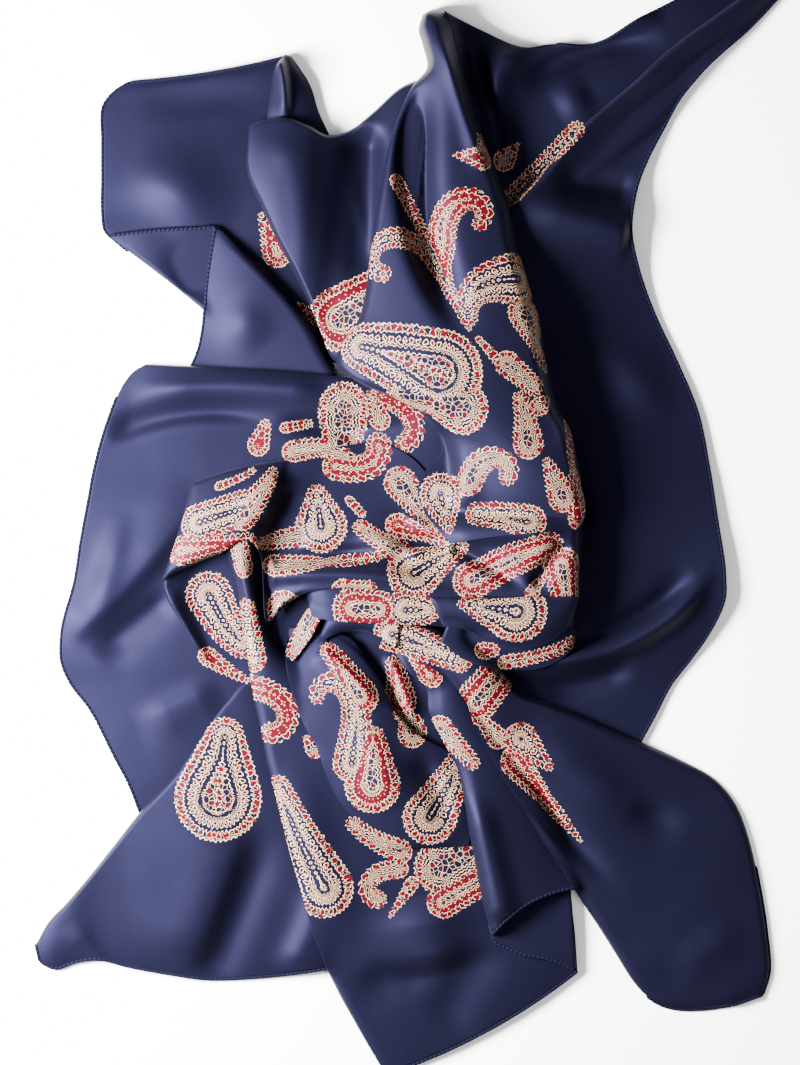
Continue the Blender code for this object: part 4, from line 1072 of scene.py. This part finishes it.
@dataclass(frozen=True)
class PrintedSilk:
    """Navy silk twill with a paisley print in cream and red. Sizes are in millimetres."""

    navy: tuple = (0.0013, 0.0012, 0.0037, 1.0)
    cream: tuple = (0.34, 0.212, 0.122, 1.0)
    red: tuple = (0.032, 0.0, 0.0003, 1.0)
    roughness: float = 0.54
    stray: float = 2.2  # how far the print's lines stray
    widest: float = 19.0  # half the width of a motif that has its bands at full size
    scales: tuple = (0.72, 1.15)  # of the bands in the narrowest and the widest places
    tooth: float = 3.9
    tooth_depth: float = 1.5
    ripple: tuple = (4.6, 0.4)  # length and height of the waves in a rippled line
    border: float = 5.0  # depth of the lace and rosettes along a motif's edge
    border_line: tuple = (5.1, 5.65)
    lace_cell: float = 4.1
    lace_line: float = 0.020  # half of a lace thread, in cells
    rosette: tuple = (2.1, 2.55, 3.5)  # radii of its heart, its ring and the bare silk round it
    rosette_gap: float = 8.0
    rosette_depth: float = 3.3
    bead: tuple = (1.25, 1.35, 1.9)  # radii of its heart and its ring
    bead_gap: float = 5.0
    bead_depth: float = 9.9
    red_band: tuple = (6.6, 11.2)
    dot: float = 0.55
    dot_gap: float = 6.2
    dot_depth: float = 8.9
    petals: tuple = (0.9, 3.0)  # how far a flower's petals reach in and out, and its radius
    flower_gap: float = 8.6
    beaded: Filling = Filling(18.5, ((14.4, 14.75), (17.9, 18.4)), ((12.5, 13.0),))
    banded: Filling = Filling(14.5, ((11.4, 11.95),), ((13.7, 14.2),))
    lacy: Filling = Filling(10.3, ((7.5, 7.95), (9.7, 10.15)))

    def build(self) -> bpy.types.Material:
        """Makes the material."""
        recipe = Recipe("printed_silk")
        cream, red = self._inks(recipe)
        cloud = Value(recipe, recipe.node("TexNoise", {"Scale": 38.0, "Detail": 2.0}).outputs["Fac"])
        navy, pale = self._uneven(cloud, self.navy, 0.14), self._uneven(cloud, self.cream, 0.10)
        cloth = recipe.blend(red, recipe.blend(cream, navy, pale), self.red)
        return recipe.finish(
            Base_Color=cloth, Roughness=self.roughness, Normal=self._weave(recipe), Specular_IOR_Level=0.075,
            Specular_Tint=(0.42, 0.40, 1.0, 1.0), Sheen_Weight=0.01, Sheen_Roughness=0.4,
            Sheen_Tint=(0.5, 0.55, 1.0, 1.0),
        )

    @staticmethod
    def _uneven(cloud: Value, colour: tuple, change: float) -> Socket:
        """A colour that is a little darker here and lighter there."""
        ends = ((*(share * part for part in colour[:3]), 1.0) for share in (1 - change, 1 + change))
        return cloud.recipe.blend(cloud, *ends)

    @staticmethod
    def _weave(recipe: Recipe) -> Socket:
        """The slubs of the silk, longer along the twill than across it.

        Args:
            recipe: the material's nodes.

        Returns:
            The bumped normal.
        """
        place = recipe.node("TexCoord").outputs["Object"]
        turned = recipe.node("Mapping", {"Vector": place, "Rotation": (0, 0, 0.9), "Scale": (1, 9, 1)})
        slub = recipe.node("TexNoise", {"Vector": turned.outputs[0], "Scale": 240.0, "Detail": 2.0})
        return recipe.bump(slub.outputs["Fac"], 0.12, 0.0004)

    def _inks(self, recipe: Recipe) -> tuple[Value, Value]:
        """Works out where the print is cream and where it is red.

        Args:
            recipe: the material's nodes.

        Returns:
            Masks for cream and for red.
        """
        uv = recipe.node("UVMap", uv_map="print").outputs[0]
        noise = recipe.node("TexNoise", {"Vector": uv, "Scale": 24.0, "Detail": 1.0}).outputs["Color"]
        side, along = (
            place * (1 / UV_SCALE) + (shift - 0.5) * self.stray
            for place, shift in zip(recipe.parts(uv, "XYZ")[:2], recipe.parts(noise))
        )
        motif = recipe.node("Attribute", attribute_name="motif")
        head, length, taper = recipe.parts(motif.outputs["Color"])
        head, length = head * (1 / UV_SCALE), length * (1 / UV_SCALE)
        pattern = Value(recipe, motif.outputs["Alpha"])
        beaded = pattern.between(BEADED.value - 0.5, BEADED.value + 0.5)
        banded = pattern.above(RED.value - 0.5)
        lacy = (1 - beaded) * (1 - banded)

        narrow, inside, rim = self._outline(side, along, head, length, taper)
        teeth = abs(self._beat(rim, self.tooth)) * (2 * self.tooth_depth / self.tooth)
        edge = inside - teeth
        scale = (narrow / self.widest).most(self.scales[0]).least(self.scales[1])
        depth = edge / scale
        ripple = depth + (rim * (2 * math.pi / self.ripple[0])).sine() * self.ripple[1]
        beads, bands, laces = (depth.above(kind.core) for kind in (self.beaded, self.banded, self.lacy))

        lace, knots = self._lace(recipe, uv)
        heart, ring, bare = self.rosette
        rosette = self._spot(rim, edge - scale * self.rosette_depth, self.rosette_gap)
        border = 1 - depth.above(self.border)
        net = lace.most(1 - depth.above(0.6)).most(rosette.between(heart, ring))
        cream = (border * net * (1 - rosette.between(ring, bare))).most(ripple.between(*self.border_line))
        red = border * (1 - rosette.above(heart))

        bead = self._spot(rim, depth - self.bead_depth, self.bead_gap)
        third = self._spot(rim, depth - self.bead_depth, 3 * self.bead_gap)
        flower, centre = self._flowers(side, along)
        filled = bead.between(*self.bead[1:]).most(self.beaded.lines(depth, ripple))
        cream = cream.most(beaded * filled.most(beads * lace.most(flower)))
        red = red.most(beaded * beads * centre)
        red = red.most(beaded * (1 - bead.above(self.bead[0])) * (1 - third.above(2)))

        band = ripple.between(*self.red_band)
        dots = 1 - self._spot(rim, depth - self.dot_depth, self.dot_gap).above(self.dot)
        cream = cream.most(banded * (band * dots).most(self.banded.lines(depth, ripple)).most(bands * lace))
        red = red.most(banded * band * (1 - dots))

        cream = cream.most(lacy * self.lacy.lines(depth, ripple).most(laces * lace))
        red = red.most(border.most(banded * bands).most(lacy * laces).most(beads) * knots)
        printed = edge.above(0.0, 0.3)
        red = red * printed
        return cream * printed * (1 - red), red

    @staticmethod
    def _outline(side: Value, along: Value, head: Value, length: Value, taper: Value) -> tuple[Value, ...]:
        """Measures a point against its motif, whose edge is the hull of two circles.

        Args:
            side: how far the point is to the side of the motif's axis.
            along: how far it is along the axis, from the head.
            head: the head's radius.
            length: the axis's length.
            taper: how fast the motif narrows.

        Returns:
            Half the motif's width there, and how far the point is inside its edge and round it.
        """
        slant = (1 - taper * taper).root()
        across = abs(side)
        foot = (along - across * taper / slant).most(0.0).least(length)
        beyond = along - foot
        narrow = head - taper * foot
        inside = narrow - (across * across + beyond * beyond).root()
        turn = across.angle(0 - beyond)
        edge_turn = slant.angle(0 - taper)
        rim = head * turn.least(edge_turn) + slant * foot + narrow * (turn - edge_turn).most(0.0)
        return narrow, inside, rim

    def _lace(self, recipe: Recipe, uv: Socket) -> tuple[Value, Value]:
        """A net of cream thread, and the red knots in some of its openings.

        Args:
            recipe: the material's nodes.
            uv: the motif's map.

        Returns:
            Masks for the thread and for the knots.
        """
        place = {"Vector": uv, "Scale": 1 / UV_SCALE / self.lace_cell}
        net = recipe.node("TexVoronoi", place, feature="DISTANCE_TO_EDGE")
        cells = recipe.node("TexVoronoi", place, feature="F1")
        chance = recipe.parts(cells.outputs["Color"])[0]
        thread = 1 - Value(recipe, net.outputs["Distance"]).above(self.lace_line, 0.06)
        knot = 1 - Value(recipe, cells.outputs["Distance"]).above(0.46, 0.1)
        return thread, knot * chance.above(0.70)

    @staticmethod
    def _beat(run: Value, period: float) -> Value:
        """How far it is from the middle of its own part of a row that repeats."""
        return ((run / period).fraction() - 0.5) * period

    def _spot(self, run: Value, aside: Value, period: float) -> Value:
        """How far it is from the nearest of a row of spots."""
        beat = self._beat(run, period)
        return (beat * beat + aside * aside).root()

    def _flowers(self, side: Value, along: Value) -> tuple[Value, Value]:
        """A row of flowers down the middle, each outlined in cream round a red heart.

        Args:
            side, along: a place in the motif, beside and along its axis.

        Returns:
            Masks for the outlines and for the hearts.
        """
        out = self._spot(along, side, self.flower_gap)
        reach, radius = self.petals
        petals = (side.angle(self._beat(along, self.flower_gap)) * 5).sine() * reach + radius
        return out.between(petals - 0.6, petals), 1 - out.above(1.6)


@dataclass(frozen=True)
class StitchedHem:
    """The rolled hem: the same silk, with a slanted stitch of darker thread at every pinch."""

    silk: tuple = (0.0036, 0.0036, 0.0095, 1.0)
    thread: tuple = (0.0010, 0.0010, 0.0026, 1.0)
    roughness: float = 0.55
    stitch: tuple = (0.36, 0.64, 0.08)  # where the thread starts and ends in each pitch, and how softly

    def build(self) -> bpy.types.Material:
        """Makes the material. The UV map runs along the hem in millimetres and round it in turns."""
        recipe = Recipe("stitched_hem")
        along, turns, _ = recipe.parts(recipe.node("UVMap", uv_map="hem").outputs[0], "XYZ")
        slanted = along * (1 / UV_SCALE) + turns * STITCH_PITCH
        stitch = (slanted / STITCH_PITCH).fraction().between(*self.stitch)
        return recipe.finish(
            Base_Color=recipe.blend(stitch, self.silk, self.thread), Roughness=self.roughness,
            Specular_IOR_Level=0.0, Normal=recipe.bump(stitch, 0.5, 0.0003),
        )


@dataclass(frozen=True)
class PaleTable:
    """The plain pale surface under the scarf."""

    colour: tuple = (0.86, 0.86, 0.855, 1.0)
    roughness: float = 0.7

    def build(self) -> bpy.types.Material:
        """Makes the material."""
        return Recipe("pale_table").finish(Base_Color=self.colour, Roughness=self.roughness)


@dataclass
class Finishes:
    """The materials that the pieces share."""

    silk: bpy.types.Material
    hem: bpy.types.Material
    table: bpy.types.Material

    @classmethod
    def build(cls) -> Finishes:
        """Makes them all."""
        return cls(PrintedSilk().build(), StitchedHem().build(), PaleTable().build())


@dataclass
class RolledHem:
    """A tube along part of one edge of a stretch, pinched at every stitch."""

    name: str
    path: Array
    radius: float = HEM_RADIUS

    def build(self, finishes: Finishes) -> bpy.types.Object:
        """Makes the hem.

        Args:
            finishes: the shared materials.

        Returns:
            The hem's object.
        """
        gaps = np.linalg.norm(np.diff(self.path, axis=0), axis=1)
        run = np.concatenate([[0], np.cumsum(gaps)])
        count = max(8, int(run[-1] / (STITCH_PITCH / 4)))
        along = np.linspace(0, run[-1], count)
        path = np.stack([np.interp(along, run, self.path[:, k]) for k in range(3)], axis=1)
        way = np.gradient(path, axis=0)
        way /= np.linalg.norm(way, axis=1)[:, None] + 1e-9
        side = np.stack([way[:, 1], -way[:, 0], np.zeros(count)], axis=1)
        side /= np.linalg.norm(side, axis=1)[:, None] + 1e-9
        up = np.cross(side, way)
        pinch = 1 - HEM_PINCH + HEM_PINCH * np.abs(np.cos(math.pi * along / STITCH_PITCH))
        ends = np.clip(np.minimum(along, run[-1] - along) / self.radius, HEM_TIP, 1)
        radius = self.radius * pinch * np.sqrt(1 - (1 - ends) ** 2)
        turn = np.linspace(0, 2 * math.pi, HEM_FACETS + 1)[None, :, None]
        ring = side[:, None, :] * np.cos(turn) + up[:, None, :] * (HEM_HEIGHT * np.sin(turn))
        points = path[:, None, :] + ring * radius[:, None, None]
        lift = np.maximum(HEM_CLEARANCE - points[:, :, 2], 0).max(axis=1)
        points[:, :, 2] += lift[:, None]
        piece = grid_object(self.name, world(*np.moveaxis(points, -1, 0)), finishes.hem, tube=True)
        self._map(piece, along)
        close_up(piece)
        return piece

    @staticmethod
    def _map(piece: bpy.types.Object, along: Array) -> None:
        """Writes how far along and how far round each corner is.

        Args:
            piece: the open tube.
            along: how far along the hem each of its rings is.
        """
        row, column = divmod(loop_corners(piece.data), HEM_FACETS + 1)
        uv = piece.data.uv_layers.new(name="hem")
        uv.data.foreach_set("uv", np.stack([along[row] * UV_SCALE, column / HEM_FACETS], axis=1).reshape(-1))


@dataclass
class Stretch:
    """One stretch of cloth, from where it comes out of the heap to where it goes under."""

    node: str
    rolls: Rolls
    sections: tuple
    folds: tuple
    seed: int
    motifs: tuple[Paisley, ...] = ()
    hems: tuple[Hem, ...] = ()

    def sizes(self) -> tuple[float, float]:
        """Its widest section and its run, on the chart."""
        rows = np.array(self.sections, float)
        widths = np.hypot(rows[:, 2] - rows[:, 0], rows[:, 3] - rows[:, 1])
        return float(widths.max()), float(side_gaps(rows).sum())

    def form(self, across: Array, along: Array) -> tuple[Array, ...]:
        """Works out the stretch by its own table, before it is laid on anything.

        Args:
            across: shares across the stretch, as one row.
            along: shares along it.

        Returns:
            x, y, z and the width of each section.
        """
        rows = np.array(self.sections, float)
        section = Section(*sections_between(rows, along).T[:, :, None])
        run_x, run_y = section.right_x - section.left_x, section.right_y - section.left_y
        width = np.hypot(run_x, run_y)
        arch = 4 * across * (1 - across)
        x = section.left_x + run_x * across + run_y / width * section.bow * arch
        y = section.left_y + run_y * across - run_x / width * section.bow * arch
        z = section.left_z + (section.right_z - section.left_z) * across + section.crown * arch
        for row in self.folds:
            z = z + fold_height(Fold(*row), x, y)
        return x, y, z + wander(x, y, self.seed), width

    def lay(self, heap: Heap) -> tuple[Array, Array, Array]:
        """Rests the stretch on the cloth already there.

        Args:
            heap: that cloth.

        Returns:
            x, y and z of the stretch's upper face, on the chart.
        """
        widest, run = self.sizes()
        rolls = self.rolls
        across = stations(widest, rolls.left, rolls.right)[None, :]
        along = stations(run, rolls.first, rolls.last)
        x, y, z, width = self.form(across, along)
        bridged = pooled(pooled(heap.top, SOFTEN, np.max), SOFTEN, np.mean, 2)
        base = read_grid(np.maximum(bridged, pooled(heap.top, 1, np.mean, 2)), x, y) + SEAT_GAP + WALL
        z = (z + base + np.sqrt((z - base) ** 2 + SEAT_BLEND)) / 2
        along = along[:, None]
        keep = roll_off(along * run, rolls.first) * roll_off((1 - along) * run, rolls.last)
        keep = keep * roll_off(across * width, rolls.left) * roll_off((1 - across) * width, rolls.right)
        z = base + (z - base) * keep
        short = read_grid(pooled(heap.top, 1, np.max), x, y) + SEAT_GAP + WALL - z
        return x, y, z + np.maximum(short, 0)

    def build(self, heap: Heap, finishes: Finishes) -> bpy.types.Object:
        """Args:
            heap: the cloth already laid.
            finishes: the shared materials.

        Returns:
            The stretch's object.
        """
        x, y, z = self.lay(heap)
        below = heap.under(x, y)
        name = "silk_" + self.node
        heap.add(name, x, y, z)
        piece = grid_object(name, world(x, y, z), finishes.silk)
        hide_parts(self.node)
        Printer(self.motifs).dress(piece)
        wall = piece.modifiers.new("wall", "SOLIDIFY")
        wall.thickness = WALL * MM
        wall.offset = -1.0
        points = np.stack([x, y, z], axis=-1)
        hems = [self._hem(hem, k, points, finishes) for k, hem in enumerate(self.hems)]
        wide = np.linalg.norm(np.diff(points, axis=1), axis=2).sum(axis=1)
        long = np.linalg.norm(np.diff(points, axis=0), axis=2).sum(axis=0)
        flat = (float(wide.max()) * MM, float(long.max()) * MM)
        wide, long = (size / MM for size in flat)
        return piece

    def _hem(self, hem: Hem, number: int, points: Array, finishes: Finishes) -> bpy.types.Object:
        """Makes one of the stretch's hems.

        Args:
            hem: where it is.
            number: its place among the stretch's hems.
            points: the stretch's upper face, on the chart.
            finishes: the shared materials.

        Returns:
            The hem's object.
        """
        edges = {"first": points[0], "last": points[-1], "left": points[:, 0], "right": points[:, -1]}
        path = edges[hem.edge] - (0, 0, HEM_DROP * HEM_RADIUS)
        first, last = round(hem.start * (len(path) - 1)), round(hem.end * (len(path) - 1))
        return RolledHem(f"hem_{self.node}_{number}", path[first:last + 1]).build(finishes)


@dataclass
class HiddenLayers:
    """The layers that nothing shows: one low mound, rounded above and stepped at its edge."""

    node: str
    sections: tuple
    folds: tuple
    insets: tuple = (0.0, 0.4, 5.0, 5.4, 10.0, 10.4)  # how far in from the edge its steps start and end
    tops: tuple = (1.8, 1.8, 1.8, 3.6, 3.6, 5.4)  # how high they are there
    step: float = 8.0  # size of a facet inside the steps

    def build(self, heap: Heap, finishes: Finishes) -> bpy.types.Object:
        """Makes the mound and adds it to the heap.

        Args:
            heap: the bare table.
            finishes: the shared materials.

        Returns:
            The mound's object.
        """
        shape = Stretch(self.node, Rolls(), self.sections, self.folds, 0)
        widest, run = shape.sizes()
        across, along = self._stations(widest)[None, :], self._stations(run)
        x, y, z, _ = shape.form(across, along)
        side = np.minimum(across, 1 - across) * widest
        end = (np.minimum(along, 1 - along) * run)[:, None]
        inset = np.minimum(side, end)
        cap = np.where(inset >= self.insets[-1] - 0.01, np.inf, np.interp(inset, self.insets, self.tops))
        z = np.minimum(np.maximum(z - 1.0, 0) + self.tops[-1], cap)
        name = "silk_" + self.node
        heap.add(name, x, y, z)
        piece = grid_object(name, world(x, y, z), finishes.silk)
        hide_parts(self.node)
        close_up(piece, skirt=True)
        log.info("%s: the layers below", name)
        return piece

    def _stations(self, length: float) -> Array:
        """Shares across the mound, with its layered edges at both ends.

        Args:
            length: the mound's, that way.

        Returns:
            The shares.
        """
        insets = np.array(self.insets)
        middle = np.linspace(insets[-1], length - insets[-1], max(3, round(length / self.step)))[1:-1]
        return np.concatenate([insets, middle, length - insets[::-1]]) / length


@dataclass
class Studio:
    """The table, the lights and the camera."""

    finishes: Finishes
    table_size: float = 3.0
    table_drop: float = 0.0004  # below the cloth
    camera_distance: float = 4.0
    sensor: float = 36.0

    def build(self) -> None:
        """Makes them all."""
        self._table()
        self._lights()
        self._camera()

    def _table(self) -> None:
        """The surface that the scarf lies on."""
        mesh = bmesh.new()
        bmesh.ops.create_grid(mesh, x_segments=1, y_segments=1, size=self.table_size)
        data = bpy.data.meshes.new("table")
        mesh.to_mesh(data)
        mesh.free()
        table = bpy.data.objects.new("table", data)
        table.location.z = -self.table_drop
        bpy.context.scene.collection.objects.link(table)
        data.materials.append(self.finishes.table)

    def _lights(self) -> None:
        """A soft window close on the left, a faint bounce from the right and an even pale sky."""
        self._area("window", (-0.78, -0.04, 0.54), 0.45, 265.0, (1.0, 0.985, 0.97))
        self._area("bounce", (1.2, -0.6, 2.2), 1.6, 30.0, (1.0, 0.97, 0.94))
        sky = bpy.data.worlds.new("sky")
        sky.use_nodes = True
        background = sky.node_tree.nodes["Background"]
        background.inputs["Color"].default_value = (0.93, 0.95, 1.0, 1.0)
        background.inputs["Strength"].default_value = 0.7
        bpy.context.scene.world = sky

    @staticmethod
    def _area(name: str, place: tuple, size: float, power: float, colour: tuple) -> None:
        """Makes one square light that faces the scarf.

        Args:
            name: the light's name.
            place: where it is, in metres.
            size: its side, in metres.
            power: its strength, in watts.
            colour: its colour.
        """
        data = bpy.data.lights.new(name, "AREA")
        data.shape = "SQUARE"
        data.size, data.energy, data.color = size, power, colour
        light = bpy.data.objects.new(name, data)
        light.location = place
        x, y, z = place
        light.rotation_euler = (math.atan2(math.hypot(x, y), z), 0, math.atan2(-y, -x) - math.pi / 2)
        bpy.context.scene.collection.objects.link(light)

    def _camera(self) -> None:
        """A camera straight above, framed as in the photograph."""
        data = bpy.data.cameras.new("camera")
        data.sensor_fit = "VERTICAL"
        data.sensor_height = self.sensor
        data.lens = self.sensor * self.camera_distance / (VIEW_HEIGHT * MM)
        camera = bpy.data.objects.new("camera", data)
        camera.location = ((VIEW_X - CENTRE_X) * MM, (CENTRE_Y - VIEW_Y) * MM, self.camera_distance)
        bpy.context.scene.collection.objects.link(camera)
        bpy.context.scene.camera = camera


def main() -> None:
    """Builds every piece in the order in which it is laid, then the studio."""
    logging.basicConfig(level=logging.INFO, format="%(name)s: %(message)s", stream=sys.stdout)
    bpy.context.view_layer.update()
    finishes = Finishes.build()
    heap = Heap()
    HiddenLayers("heap_core", *MOUND).build(heap, finishes)
    for seed, (node, (rolls, sections, folds)) in enumerate(STRETCHES.items(), 1):
        motifs = tuple(Paisley(*motif) for motif in PRINTS.get(node, ()))
        hems = tuple(Hem(*hem) for hem in HEMS.get(node, ()))
        Stretch(node, Rolls(*rolls), sections, folds, seed, motifs, hems).build(heap, finishes)
    Studio(finishes).build()


if __name__ == "__main__":
    main()
